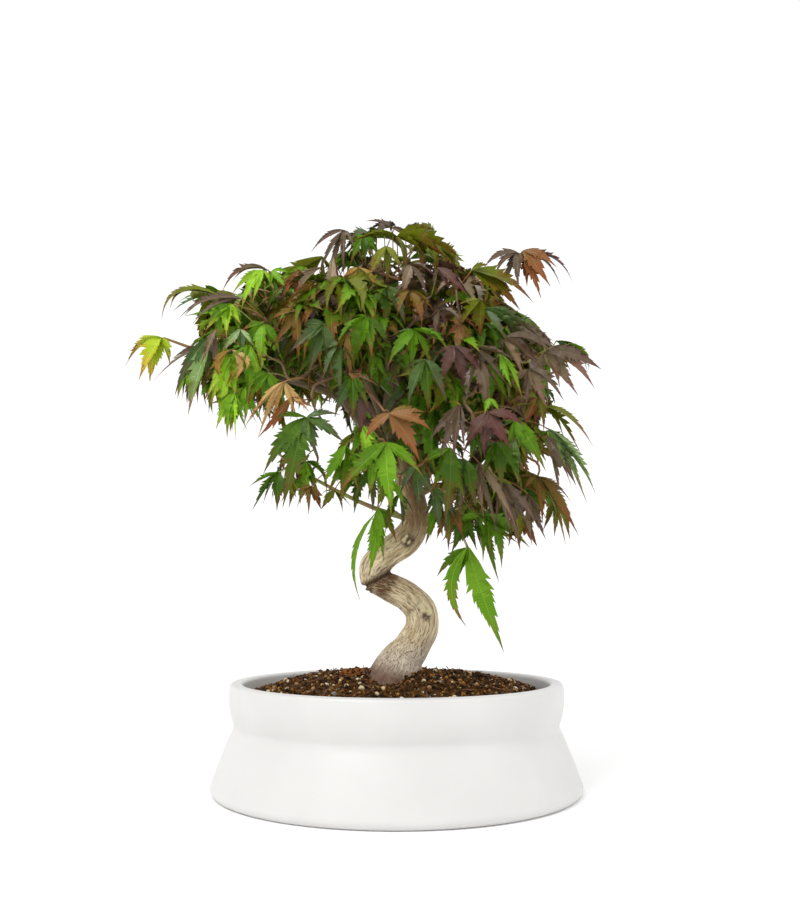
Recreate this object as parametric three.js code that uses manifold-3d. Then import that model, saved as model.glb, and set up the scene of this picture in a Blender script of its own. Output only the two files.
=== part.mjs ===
// A Japanese maple trained as a small tree in a round pot: the pot with its wide foot, the
// mound of soil, the twice-bent trunk, its boughs, and the masses of foliage they carry.
// Millimetres, +Z up. The origin is the centre of the pot's flat underside, and -Y is the front.
import * as THREE from "three";
import { mergeVertices } from "three/addons/utils/BufferGeometryUtils.js";
import Module from "manifold-3d";

const wasm = await Module();
wasm.setup();

// ---------------------------------------------------------------- driving dimensions

// Clear space between neighbouring solids.
const CLEARANCE = 0.35;
// A mass grows along its own radii, so slanting faces need a little more to keep the clearance.
const MASS_CLEARANCE = 0.5;

// Vertices nearer than this are one.
const MERGE_DISTANCE = 1e-3;

// A bulge is how far the side stands out at the middle of its height. The lip is a flat ring
// `lip` wide, with its edges rounded to `lipCorner`.
const POT = {
  height: 71,
  footRadius: 124.5,
  footCorner: 4.6,
  footBulge: 0.6,
  neckRadius: 109.4,
  neckHeight: 43.2,
  rimRadius: 113,
  rimBulge: 1.8,
  lip: 9,
  lipCorner: 2.3,
  wall: 7,
  floor: 8,
  segments: 36,
  cornerSteps: 3,
  footSteps: 4,
  rimSteps: 3,
};

// The mound falls from the seat of the trunk to its edge, faster and faster by `moundPower`.
// Its lumps are `unevenness` high and some `lumpSpacing` apart.
const SOIL = {
  edgeHeight: 61,
  seatRadius: 26,
  seatHeight: 73,
  moundPower: 2.4,
  rings: 5,
  unevenness: 1,
  lumpSpacing: 22,
  margin: 1,
};

// Where the trunk divides.
const FORK = [4, 0, 224];

// How finely limbs are made: the number of their sides, and the length of one step.
const TRUNK_MESH = { sides: 12, stepLength: 6 };
const BOUGH_MESH = { sides: 6, stepLength: 13 };
const FEWEST_STEPS = 4;

// Each limb runs through its points, [x, y, z, radius], from its root to its tip.
// The trunk's two lengths meet in the crease of its sharp left-hand bend.
const TRUNK_LOWER = [
  [-3, 0, 64, 22.5],
  [1.8, 0, 76, 17],
  [8.2, -0.5, 86, 12.6],
  [12.6, -1.5, 96, 11.5],
  [17.2, -2, 107, 11.3],
  [16.8, -1.5, 118, 11.4],
  [8.3, 0, 128, 10.6],
  [-4.6, 1.5, 134.8, 10.4],
  [-15.8, 2, 139.4, 9],
];
const TRUNK_UPPER = [
  [-19, 1, 135, 5.4],
  [-17, 1, 141, 8.8],
  [-13.6, 0, 149.5, 10.8],
  [-5, -1.5, 158, 10.4],
  [4.6, -2.5, 166, 10.3],
  [11.2, -3, 174, 10],
  [13.5, -2.5, 184, 9],
  [11.5, -1, 198, 8.3],
  [7, 0, 211, 8],
  [...FORK, 7.8],
];

// A bough springs from the trunk or from a bough before it, and stops where it enters a mass.
const BOUGHS = [
  {
    name: "leader",
    points: [[...FORK, 7], [-4, 4, 256, 6.2], [-2, 2, 292, 5], [-7, -2, 350, 3.6]],
  },
  {
    name: "left_bough",
    points: [[1, 0, 230, 5.2], [-22, -4, 248, 4.9], [-42, -4, 274, 4.1], [-68, -2, 302, 3.2],
      [-92, 0, 330, 2.6]],
  },
  {
    name: "left_lower_bough",
    points: [[-36, -4, 266, 3.2], [-58, -12, 274, 2.9], [-98, -16, 284, 2.3]],
  },
  {
    name: "right_bough",
    points: [[3, 0, 231, 5], [22, 2, 248, 4.7], [40, 0, 272, 3.9], [50, -4, 322, 3]],
  },
  {
    name: "right_lower_bough",
    points: [[20, 2, 246, 3.4], [44, -2, 248, 3.1], [84, -8, 238, 2.4]],
  },
  {
    name: "front_bough",
    points: [[8, -3, 208, 3.6], [2, -20, 222, 3.3], [-12, -40, 254, 2.9], [-28, -58, 290, 2.4]],
  },
  {
    name: "right_front_bough",
    points: [[25, 2, 252, 3], [34, -18, 258, 2.7], [45, -56, 268, 2.2]],
  },
  {
    name: "back_bough",
    points: [[-1, 3, 242, 4.2], [2, 24, 262, 3.8], [2, 70, 312, 2.8]],
  },
  {
    name: "left_back_bough",
    points: [[-3, 3, 250, 3.8], [-26, 20, 268, 3.4], [-78, 54, 304, 2.5]],
  },
  {
    name: "right_back_bough",
    points: [[-2, 3, 256, 3.8], [24, 20, 268, 3.4], [74, 54, 284, 2.5]],
  },
  {
    name: "low_back_bough",
    points: [[10, 0, 202, 3.2], [10, 22, 214, 2.9], [6, 62, 232, 2.3]],
  },
  {
    name: "low_left_bough",
    points: [[8, -4, 182, 2.2], [-14, -9, 188.5, 2], [-40, -14, 200, 1.8], [-70, -18, 216, 1.5]],
  },
  {
    name: "low_right_bough",
    points: [[11, -2, 196, 3], [28, -12, 204, 2.6], [60, -22, 200, 2]],
  },
  {
    name: "trunk_shoot",
    points: [[6, -6, 180, 1.4], [-4, -16, 187, 1.2], [-16, -24, 180, 1]],
  },
  {
    name: "left_tip_twig",
    points: [[-138, -14, 298, 1.3], [-155, -10, 305, 1.1], [-172, -8, 302, 1]],
  },
];

// Masses wider than this, from their centre, are worked out more finely.
const LARGE_MASS = 42;
const LARGE_MASS_DETAIL = 3;
const SMALL_MASS_DETAIL = 2;

// How uneven a mass is, as a share of its size, and how closely the lumps follow each other.
const MASS_UNEVENNESS = 0.09;
const MASS_LUMPS = 3;
// How wide a spray is: the larger, the wider.
const SPRAY_SPREAD = 0.14;

// A mass is an uneven, rounded body: its centre, its half sizes along X, Y and Z, and the
// sprays that reach out of it, each [direction x, y, z, reach beyond the half size].
// Earlier masses keep their whole shape, and later ones are cut back round them.
const MASSES = [
  { name: "top_mass", at: [-8, -4, 368], half: [50, 46, 30],
    sprays: [[-0.7, -0.2, -0.35, 12], [0.8, -0.1, 0.1, 9], [0.1, 0.5, 0.6, 3]] },
  { name: "left_upper_mass", at: [-104, 2, 337], half: [46, 42, 24],
    sprays: [[-1, -0.1, -0.1, 18], [0.15, -0.3, 1, 6], [-0.4, 0.8, 0.1, 6]] },
  { name: "left_lower_mass", at: [-110, -20, 288], half: [42, 40, 33],
    sprays: [[-0.8, -0.1, -0.5, 8], [-0.1, -0.2, -1, 10], [0.4, -0.6, -0.7, 12]] },
  { name: "right_upper_mass", at: [48, -10, 327], half: [50, 46, 32],
    sprays: [[0.9, -0.2, 0.4, 8], [0.3, 0.8, 0.3, 6]] },
  { name: "right_shoulder_mass", at: [102, -20, 293], half: [34, 38, 27],
    sprays: [[1, -0.1, -0.15, 8], [0.8, 0.2, 0.5, 4]] },
  { name: "right_lower_mass", at: [96, -12, 228], half: [38, 38, 38],
    sprays: [[0.9, -0.1, 0.45, 8], [0.8, 0, -0.75, 10], [0.1, -0.3, -1, 14]] },
  { name: "low_right_mass", at: [58, -24, 198], half: [36, 32, 28],
    sprays: [[-0.4, -0.2, -0.9, 8], [0.5, -0.3, -0.9, 8]] },
  { name: "right_front_mass", at: [42, -64, 272], half: [42, 34, 42],
    sprays: [[0.2, -0.4, -1, 8], [0.8, -0.5, -0.3, 8]] },
  { name: "centre_front_mass", at: [-36, -64, 298], half: [46, 36, 44],
    sprays: [[-0.7, -0.4, -0.6, 10], [0.2, -0.5, -1, 6]] },
  { name: "low_centre_mass", at: [-14, -50, 228], half: [36, 26, 23],
    sprays: [[-0.8, -0.1, -0.5, 8], [0.1, -0.2, -1, 8]] },
  { name: "low_left_mass", at: [-70, -20, 220], half: [30, 30, 31],
    sprays: [[-0.7, -0.1, -0.7, 12], [0.4, 0.2, -0.7, 4]] },
  { name: "back_mass", at: [-2, 76, 316], half: [54, 40, 46],
    sprays: [[0, 0.6, -0.8, 10], [-0.3, 0.4, 0.8, 8]] },
  { name: "left_back_mass", at: [-82, 62, 302], half: [48, 40, 40],
    sprays: [[-0.8, 0.4, -0.4, 14], [-0.2, 0.5, -0.9, 8]] },
  { name: "right_back_mass", at: [80, 58, 284], half: [46, 40, 44],
    sprays: [[0.8, 0.4, -0.3, 10], [0.2, 0.6, -0.9, 10]] },
  { name: "low_back_mass", at: [4, 66, 236], half: [48, 34, 32],
    sprays: [[-0.7, 0.4, -0.7, 12], [0.6, 0.4, -0.8, 10]] },
  { name: "right_top_spray", at: [90, -2, 361], half: [28, 22, 17],
    sprays: [[0.9, -0.1, -0.6, 14], [-0.8, 0, -0.5, 6]] },
  { name: "left_tip_spray", at: [-173, -8, 299], half: [17, 14, 12],
    sprays: [[-0.5, 0, -1, 6], [0.3, 0.2, -1, 3]] },
  { name: "hanging_spray", at: [52, -27, 148], half: [15, 11, 26],
    sprays: [[0.55, 0, -1, 28], [-0.3, 0, -1, 12]] },
  { name: "trunk_shoot_spray", at: [-16, -25, 164], half: [12, 7, 16],
    sprays: [[-0.45, 0, -1, 24], [0.1, 0, -1, 3]] },
];

const MATERIALS = {
  glaze: new THREE.MeshStandardMaterial({ color: 0xe9e8e5, roughness: 0.35, metalness: 0 }),
  soil: new THREE.MeshStandardMaterial({ color: 0x3a2a1e, roughness: 0.95, metalness: 0 }),
  bark: new THREE.MeshStandardMaterial({ color: 0xb9a27c, roughness: 0.85, metalness: 0 }),
  leaf: new THREE.MeshStandardMaterial({ color: 0x4d6b2c, roughness: 0.55, metalness: 0 }),
};

// ---------------------------------------------------------------- solids

/** Turns a closed geometry into a solid that can be joined and cut. */
function toSolid(geometry) {
  const bare = geometry.index ? geometry.toNonIndexed() : geometry.clone();
  bare.deleteAttribute("normal");
  bare.deleteAttribute("uv");
  const merged = mergeVertices(bare, MERGE_DISTANCE);
  return new wasm.Manifold(
    new wasm.Mesh({
      numProp: 3,
      vertProperties: merged.attributes.position.array,
      triVerts: new Uint32Array(merged.index.array),
    }),
  );
}

/** Turns a solid back into a geometry for a mesh. */
function toGeometry(solid) {
  const mesh = solid.getMesh();
  const geometry = new THREE.BufferGeometry()
    .setAttribute("position", new THREE.BufferAttribute(mesh.vertProperties, 3))
    .setIndex(new THREE.BufferAttribute(mesh.triVerts, 1));
  geometry.computeVertexNormals();
  return geometry;
}

/** The largest single body of a solid, for when a cut leaves crumbs. */
function largestBody(solid) {
  return solid.decompose().reduce((best, body) => (body.volume() > best.volume() ? body : best));
}

/** A solid less each of the cutters. */
function cutBy(solid, cutters) {
  return cutters.reduce((rest, cutter) => rest.subtract(cutter), solid);
}

// ---------------------------------------------------------------- pot and soil

/** Points on the quarter round of a corner, from angle `start` to angle `end`. */
function cornerPoints(centreRadius, centreHeight, radius, start, end, steps) {
  return Array.from({ length: steps + 1 }, (_, i) => {
    const angle = start + ((end - start) * i) / steps;
    return new THREE.Vector2(
      centreRadius + radius * Math.cos(angle),
      centreHeight + radius * Math.sin(angle),
    );
  });
}

/** Points along a slightly bulging side between two points, both ends left out. */
function sidePoints(from, to, bulge, steps) {
  const middle = from.clone().add(to).multiplyScalar(0.5);
  middle.x += 2 * bulge;
  const curve = new THREE.QuadraticBezierCurve(from, middle, to);
  return curve.getPoints(steps).slice(1, -1);
}

/** The pot's outside, from the top of its foot corner up to its lip. */
function potSide() {
  const foot = new THREE.Vector2(POT.footRadius, POT.footCorner);
  const neck = new THREE.Vector2(POT.neckRadius, POT.neckHeight);
  const edge = new THREE.Vector2(POT.rimRadius, POT.height - POT.lipCorner);
  return [
    foot,
    ...sidePoints(foot, neck, POT.footBulge, POT.footSteps),
    neck,
    ...sidePoints(neck, edge, POT.rimBulge, POT.rimSteps),
    edge,
  ];
}

/** Spins a closed profile of (radius, height) round the Z axis. */
function spun(profile) {
  return new THREE.LatheGeometry(profile, POT.segments).rotateX(Math.PI / 2);
}

/** The hollow pot: a wide rounded foot, a waisted neck and a thick, plain, flat lip. */
function makePot() {
  const { footRadius, footCorner, neckRadius, neckHeight, rimRadius, lip, lipCorner, wall, floor } = POT;
  const quarter = Math.PI / 2;
  const outside = [
    new THREE.Vector2(0, 0),
    ...cornerPoints(footRadius - footCorner, footCorner, footCorner, -quarter, 0, POT.cornerSteps)
      .slice(0, -1),
    ...potSide(),
  ];
  const lipHeight = POT.height - lipCorner;
  const rolled = [
    ...cornerPoints(rimRadius - lipCorner, lipHeight, lipCorner, 0, quarter, POT.cornerSteps).slice(1),
    ...cornerPoints(rimRadius - lip + lipCorner, lipHeight, lipCorner, quarter, Math.PI, POT.cornerSteps),
  ];
  const inside = [
    new THREE.Vector2(neckRadius - wall, neckHeight),
    new THREE.Vector2(footRadius - footCorner - wall, floor),
    new THREE.Vector2(0, floor),
  ];
  return toSolid(spun([...outside, ...rolled, ...inside]));
}

/** A smooth, repeatable unevenness between -1 and 1 at a point. */
function unevenAt(x, y, z) {
  return (
    Math.sin(2.1 * x + 1.3 * y + 0.4) * Math.cos(1.7 * y - 2.3 * z + 1.1) * 0.6 +
    Math.sin(4.3 * z - 3.1 * x + 2.2) * Math.cos(3.7 * x + 2.9 * y) * 0.4
  );
}

/** The soil: it fills the pot and rises in a low mound to the flat seat of the trunk. */
function makeSoil() {
  const { footRadius, footCorner, neckRadius, neckHeight, wall, floor } = POT;
  const { edgeHeight, seatRadius, seatHeight, rings, unevenness, margin } = SOIL;
  const wallRadius = THREE.MathUtils.mapLinear(
    edgeHeight,
    neckHeight,
    POT.height - POT.lipCorner,
    neckRadius - wall,
    POT.rimRadius - POT.lip,
  );
  const edgeRadius = wallRadius - CLEARANCE;
  const mound = Array.from({ length: rings + 1 }, (_, i) => {
    const out = 1 - i / rings;
    return new THREE.Vector2(
      seatRadius + (edgeRadius - seatRadius) * out,
      seatHeight - (seatHeight - edgeHeight) * out ** SOIL.moundPower,
    );
  });
  const profile = [
    new THREE.Vector2(0, floor + CLEARANCE),
    new THREE.Vector2(footRadius - footCorner - wall - CLEARANCE * 2, floor + CLEARANCE),
    new THREE.Vector2(neckRadius - wall - CLEARANCE, neckHeight),
    ...mound,
    new THREE.Vector2(0, seatHeight),
  ];
  const geometry = spun(profile);
  const place = geometry.attributes.position;
  for (let i = 0; i < place.count; i++) {
    const [x, y, z] = [place.getX(i), place.getY(i), place.getZ(i)];
    const radius = Math.hypot(x, y);
    if (z > edgeHeight - margin && radius > seatRadius + margin && radius < edgeRadius - margin) {
      place.setZ(i, z + unevenness * unevenAt(x / SOIL.lumpSpacing, y / SOIL.lumpSpacing, 0));
    }
  }
  return toSolid(geometry);
}

// ---------------------------------------------------------------- trunk and boughs

/** A tapering limb with closed ends, swept through its points and thickened by `grow`. */
function makeLimb(points, { sides, stepLength }, grow = 0) {
  const path = new THREE.CatmullRomCurve3(points.map(([x, y, z]) => new THREE.Vector3(x, y, z)));
  const steps = Math.max(FEWEST_STEPS, Math.round(path.getLength() / stepLength));
  const frames = path.computeFrenetFrames(steps, false);
  const positions = [];
  for (let i = 0; i <= steps; i++) {
    const t = path.getUtoTmapping(i / steps, 0);
    const place = path.getPoint(t);
    const along = t * (points.length - 1);
    const before = Math.min(Math.floor(along), points.length - 2);
    const radius =
      THREE.MathUtils.lerp(points[before][3], points[before + 1][3], along - before) + grow;
    for (let j = 0; j < sides; j++) {
      const angle = (2 * Math.PI * j) / sides;
      const spoke = frames.normals[i].clone().multiplyScalar(radius * Math.cos(angle))
        .addScaledVector(frames.binormals[i], radius * Math.sin(angle));
      positions.push(place.clone().add(spoke));
    }
  }
  const firstEnd = positions.push(path.getPoint(0).addScaledVector(frames.tangents[0], -grow)) - 1;
  const lastEnd = positions.push(path.getPoint(1).addScaledVector(frames.tangents[steps], grow)) - 1;
  const triangles = [];
  for (let j = 0; j < sides; j++) {
    const next = (j + 1) % sides;
    triangles.push(firstEnd, next, j);
    triangles.push(lastEnd, steps * sides + j, steps * sides + next);
    for (let i = 0; i < steps; i++) {
      const [a, b] = [i * sides + j, i * sides + next];
      triangles.push(a, b, b + sides, a, b + sides, a + sides);
    }
  }
  const geometry = new THREE.BufferGeometry().setFromPoints(positions);
  geometry.setIndex(triangles);
  return toSolid(geometry);
}

/** The trunk, thickened by `grow`: both lengths joined, and cut flat where it meets the soil. */
function makeTrunk(grow = 0) {
  const whole = makeLimb(TRUNK_LOWER, TRUNK_MESH, grow).add(makeLimb(TRUNK_UPPER, TRUNK_MESH, grow));
  const ground = SOIL.seatHeight + CLEARANCE - grow;
  const side = 2 * POT.footRadius;
  const below = new THREE.BoxGeometry(side, side, ground).translate(0, 0, ground / 2);
  return whole.subtract(toSolid(below));
}

/** A bough, thickened by `grow`. */
function makeBough({ points }, grow = 0) {
  return makeLimb(points, BOUGH_MESH, grow);
}

// ---------------------------------------------------------------- foliage

/** One uneven mass of foliage, grown by `grow` along its radii. */
function makeMass({ at, half, sprays }, grow = 0) {
  const detail = half[0] > LARGE_MASS ? LARGE_MASS_DETAIL : SMALL_MASS_DETAIL;
  const geometry = new THREE.IcosahedronGeometry(1, detail);
  const place = geometry.attributes.position;
  const direction = new THREE.Vector3();
  const size = new THREE.Vector3(...half);
  const reaches = sprays.map(([x, y, z, reach]) => ({ way: new THREE.Vector3(x, y, z).normalize(), reach }));
  for (let i = 0; i < place.count; i++) {
    direction.fromBufferAttribute(place, i).normalize();
    const spot = direction.clone().multiplyScalar(MASS_LUMPS);
    const uneven = 1 + MASS_UNEVENNESS * unevenAt(spot.x + at[0], spot.y + at[1], spot.z);
    const surface = direction.clone().multiply(size).multiplyScalar(uneven);
    const extra = reaches.reduce(
      (sum, { way, reach }) => sum + reach * Math.exp(-((1 - direction.dot(way)) / SPRAY_SPREAD)),
      grow,
    );
    surface.addScaledVector(direction, extra);
    place.setXYZ(i, at[0] + surface.x, at[1] + surface.y, at[2] + surface.z);
  }
  return toSolid(geometry);
}

// ---------------------------------------------------------------- assembly

const tree = new THREE.Group();

/** Adds one solid to the group as a named mesh. */
function place(name, solid, material) {
  const mesh = new THREE.Mesh(toGeometry(solid), material);
  mesh.name = name;
  tree.add(mesh);
}

const trunk = makeTrunk();
place("pot", makePot(), MATERIALS.glaze);
place("soil", makeSoil(), MATERIALS.soil);
place("trunk", trunk, MATERIALS.bark);

const trunkSleeve = makeTrunk(CLEARANCE);
const massSleeves = new Map(MASSES.map((mass) => [mass.name, makeMass(mass, MASS_CLEARANCE)]));
const boughSleeves = new Map(BOUGHS.map((bough) => [bough.name, makeBough(bough, CLEARANCE)]));

// A bough keeps clear of the trunk, of every bough before it, and of every mass.
BOUGHS.forEach((bough, i) => {
  const before = BOUGHS.slice(0, i).map(({ name }) => boughSleeves.get(name));
  const cutters = [trunkSleeve, ...before, ...massSleeves.values()];
  place(bough.name, largestBody(cutBy(makeBough(bough), cutters)), MATERIALS.bark);
});

// A mass keeps clear of the trunk and of every mass before it.
MASSES.forEach((mass, i) => {
  const before = MASSES.slice(0, i).map(({ name }) => massSleeves.get(name));
  place(mass.name, largestBody(cutBy(makeMass(mass), [trunkSleeve, ...before])), MATERIALS.leaf);
});

export default tree;
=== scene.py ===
"""The looks of a Japanese maple kept as a small trained tree in a round white pot.

Everything is built in metres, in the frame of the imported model: +Z is up, -Y is the front, and
the origin is the centre of the pot's flat underside. The classes below hold their sizes in
millimetres, apart from the finishes and the studio, which hold metres.
"""

import logging
import math
from collections.abc import Callable, Iterable, Sequence
from dataclasses import dataclass, field
from enum import Enum

import bmesh
import bpy
import numpy as np
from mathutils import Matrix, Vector


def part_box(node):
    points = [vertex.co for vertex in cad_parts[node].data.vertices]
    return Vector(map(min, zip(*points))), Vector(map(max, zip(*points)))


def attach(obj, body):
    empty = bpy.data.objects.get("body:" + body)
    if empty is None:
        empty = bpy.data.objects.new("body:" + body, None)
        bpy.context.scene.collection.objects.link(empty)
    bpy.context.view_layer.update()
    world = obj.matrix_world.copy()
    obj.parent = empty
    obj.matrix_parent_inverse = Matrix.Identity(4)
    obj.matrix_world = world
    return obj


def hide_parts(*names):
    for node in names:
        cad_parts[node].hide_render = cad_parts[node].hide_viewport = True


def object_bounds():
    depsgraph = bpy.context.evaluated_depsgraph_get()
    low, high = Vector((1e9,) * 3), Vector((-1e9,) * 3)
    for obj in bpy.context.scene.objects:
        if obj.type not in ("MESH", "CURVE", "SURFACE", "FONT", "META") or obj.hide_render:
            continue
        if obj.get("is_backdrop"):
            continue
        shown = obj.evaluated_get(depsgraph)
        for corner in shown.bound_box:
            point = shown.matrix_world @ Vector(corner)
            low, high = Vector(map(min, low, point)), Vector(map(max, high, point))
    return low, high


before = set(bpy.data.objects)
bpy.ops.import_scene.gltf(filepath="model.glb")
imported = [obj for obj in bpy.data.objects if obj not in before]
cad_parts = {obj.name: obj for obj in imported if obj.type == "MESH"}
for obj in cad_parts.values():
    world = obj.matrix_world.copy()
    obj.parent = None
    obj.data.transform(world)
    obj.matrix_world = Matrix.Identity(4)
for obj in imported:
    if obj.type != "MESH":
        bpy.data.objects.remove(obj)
CAD_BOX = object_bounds()

MM = 0.001
UP = np.array([0.0, 0.0, 1.0])
DOWN = -UP
BODY = "root"
GOLDEN_ANGLE = math.pi * (3 - math.sqrt(5))
CURVE_STEPS = 24

log = logging.getLogger("maple")
Colour = tuple[float, float, float, float]
Warp = Callable[[np.ndarray], np.ndarray]


# ------------------------------------------------------------------ small helpers


def tone(hex_code: str) -> Colour:
    """Turns a display colour such as "#6a8f2c" into the linear colour that a shader takes.

    Args:
        hex_code: The colour as it looks on a display.

    Returns:
        Linear red, green and blue, and an alpha of 1.
    """
    parts = [int(hex_code[i : i + 2], 16) / 255 for i in (1, 3, 5)]
    linear = [c / 12.92 if c <= 0.04045 else ((c + 0.055) / 1.055) ** 2.4 for c in parts]
    return (*linear, 1.0)


def unit(vectors: np.ndarray) -> np.ndarray:
    """Gives vectors a length of 1."""
    return vectors / np.linalg.norm(vectors, axis=-1, keepdims=True).clip(1e-9)


def dot(a: np.ndarray, b: np.ndarray) -> np.ndarray:
    """Row by row dot products, kept as a column."""
    return (a * b).sum(-1, keepdims=True)


def lengths_along(points: np.ndarray) -> np.ndarray:
    """How far along a line each of its points is."""
    return np.concatenate([[0], np.cumsum(np.linalg.norm(np.diff(points, axis=0), axis=1))])


def bowed(
    start: np.ndarray, bend: np.ndarray, end: np.ndarray, t: np.ndarray | float
) -> np.ndarray:
    """Places on a curve that leaves its start towards a bend, for t from 0 to 1."""
    return (1 - t) ** 2 * start + 2 * t * (1 - t) * bend + t * t * end


def smooth_curve(points: np.ndarray, spacing: float) -> np.ndarray:
    """Runs a smooth curve through points, and returns even samples of it.

    Args:
        points: Rows of any width, of which the first three columns are a place.
        spacing: The distance between samples.

    Returns:
        The samples, with the same columns as the points.
    """
    padded = np.vstack([2 * points[0] - points[1], points, 2 * points[-1] - points[-2]])
    rows = []
    for a, b, c, d in zip(padded, padded[1:], padded[2:], padded[3:]):
        t = np.linspace(0, 1, CURVE_STEPS + 1)[:-1, None]
        square, cube = 2 * a - 5 * b + 4 * c - d, 3 * b - a - 3 * c + d
        rows.append(0.5 * (2 * b + (c - a) * t + square * t**2 + cube * t**3))
    dense = np.vstack([*rows, points[-1:]])
    along = lengths_along(dense[:, :3])
    count = max(3, int(round(along[-1] / spacing)) + 1)
    even = np.linspace(0, along[-1], count)
    return np.column_stack([np.interp(even, along, column) for column in dense.T])


def carried_frames(points: np.ndarray) -> tuple[np.ndarray, np.ndarray, np.ndarray]:
    """Carries a frame along a curve without twisting it.

    Args:
        points: The curve's points, one a row.

    Returns:
        The tangents and the two directions across the curve at each point.
    """
    tangents = unit(np.gradient(points, axis=0))
    helper = np.array([0.0, -1.0, 0.0]) if abs(tangents[0][1]) < 0.9 else UP
    across = unit(helper - dot(helper, tangents[0]) * tangents[0])
    firsts = [across]
    for tangent in tangents[1:]:
        across = unit(across - dot(across, tangent) * tangent)
        firsts.append(across)
    first = np.array(firsts)
    return tangents, first, np.cross(tangents, first)


class Lattice:
    """Smooth seeded noise on a lattice, in one, two or three directions."""

    SIZE = 32

    def __init__(self, seed: int) -> None:
        """Fills the lattice.

        Args:
            seed: The seed of its values.
        """
        self.values = np.random.default_rng(seed).uniform(-1, 1, (self.SIZE,) * 3)

    def at(self, places: np.ndarray) -> np.ndarray:
        """The noise at places, which repeats every SIZE units.

        Args:
            places: One place a row, with three columns.

        Returns:
            One value between -1 and 1 for each place.
        """
        whole = np.floor(places).astype(int)
        part = places - whole
        part = part * part * (3 - 2 * part)
        total = np.zeros(len(places))
        for corner in np.ndindex(2, 2, 2):
            weight = np.prod(np.where(corner, part, 1 - part), axis=1)
            i, j, k = ((whole + corner) % self.SIZE).T
            total += weight * self.values[i, j, k]
        return total

    def layered(self, places: np.ndarray, layers: int = 3) -> np.ndarray:
        """Noise with finer and finer layers on it."""
        return sum(self.at(places * 2**i + 7 * i) / 2**i for i in range(layers)) / 1.6


# ------------------------------------------------------------------ shader language


class Field:
    """A shader value that takes part in arithmetic."""

    def __init__(self, sheet: "Sheet", socket: bpy.types.NodeSocket) -> None:
        """Wraps a socket.

        Args:
            sheet: The sheet that the socket's node is on.
            socket: The output socket that holds the value.
        """
        self.sheet = sheet
        self.socket = socket

    def _math(
        self, operation: str, first: "Field | float", second: "Field | float | None" = None
    ) -> "Field":
        """Adds one Math node."""
        given = {0: first} if second is None else {0: first, 1: second}
        return self.sheet.node("ShaderNodeMath", {"operation": operation}, given)

    def __add__(self, other: "Field | float") -> "Field":
        """Sum."""
        return self._math("ADD", self, other)

    __radd__ = __add__

    def __sub__(self, other: "Field | float") -> "Field":
        """Difference."""
        return self._math("SUBTRACT", self, other)

    def __rsub__(self, other: float) -> "Field":
        """Difference from a number."""
        return self._math("SUBTRACT", other, self)

    def __mul__(self, other: "Field | float") -> "Field":
        """Product."""
        return self._math("MULTIPLY", self, other)

    __rmul__ = __mul__

    def __abs__(self) -> "Field":
        """Size without sign."""
        return self._math("ABSOLUTE", self)

    def fraction(self) -> "Field":
        """What is left after the whole part."""
        return self._math("FRACT", self)

    def ramp(self, low: float, high: float) -> "Field":
        """Goes smoothly from 0 where the value is `low` to 1 where it is `high`."""
        given = {"Value": self, "From Min": low, "From Max": high}
        return self.sheet.node("ShaderNodeMapRange", {"interpolation_type": "SMOOTHSTEP"}, given)


class Sheet:
    """The node sheet of one material, with its Principled shader."""

    def __init__(self, name: str) -> None:
        """Starts a material.

        Args:
            name: The material's name.
        """
        self.material = bpy.data.materials.new(name)
        self.material.use_nodes = True
        self.tree = self.material.node_tree
        self.tree.nodes.clear()
        self.shader = self.tree.nodes.new("ShaderNodeBsdfPrincipled")
        output = self.tree.nodes.new("ShaderNodeOutputMaterial")
        self.tree.links.new(self.shader.outputs[0], output.inputs["Surface"])

    def node(self, kind: str, settings: dict, given: dict, output: int | str = 0) -> Field:
        """Adds a node.

        Args:
            kind: The node's type.
            settings: The node's own settings, which are set first.
            given: For each input socket, by name or number, a value or a Field.
            output: The output socket that is wanted.

        Returns:
            The wanted output.
        """
        node = self.tree.nodes.new(kind)
        for name, value in settings.items():
            setattr(node, name, value)
        for key, value in given.items():
            self._give(node.inputs[key], value)
        return Field(self, node.outputs[output])

    def _give(self, socket: bpy.types.NodeSocket, value: object) -> None:
        """Links a Field to a socket, or sets the socket's own value.

        Args:
            socket: The input socket.
            value: What it gets.
        """
        if isinstance(value, Field):
            self.tree.links.new(value.socket, socket)
        else:
            socket.default_value = value

    def attribute(self, name: str) -> Field:
        """A vector that the mesh carries."""
        return self.node("ShaderNodeAttribute", {"attribute_name": name}, {}, "Vector")

    def part(self, vector: Field, axis: str) -> Field:
        """One of a vector's three numbers."""
        return self.node("ShaderNodeSeparateXYZ", {}, {0: vector}, axis)

    def place(self) -> Field:
        """The place on the object, in metres."""
        return self.node("ShaderNodeTexCoord", {}, {}, "Object")

    def noise(self, vector: Field, scale: float, detail: float = 2.0) -> Field:
        """Soft noise between 0 and 1."""
        return self.node("ShaderNodeTexNoise", {}, {"Vector": vector, "Scale": scale, "Detail": detail})

    def blend(self, share: Field, first: "Field | Colour", second: "Field | Colour") -> Field:
        """Goes from one colour to another."""
        settings = {"data_type": "RGBA", "clamp_factor": True}
        return self.node("ShaderNodeMix", settings, {0: share, 6: first, 7: second}, 2)

    def bump(self, height: Field, depth: float, strength: float = 1.0) -> Field:
        """Relief whose full height is `depth` metres."""
        return self.node("ShaderNodeBump", {}, {"Height": height, "Distance": depth, "Strength": strength})

    def finish(self, **sockets: object) -> bpy.types.Material:
        """Fills the shader's sockets and returns the material.

        Args:
            **sockets: Values or Fields by socket name, with _ for each space.

        Returns:
            The finished material.
        """
        for name, value in sockets.items():
            self._give(self.shader.inputs[name.replace("_", " ")], value)
        return self.material


# ------------------------------------------------------------------ finishes


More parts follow.
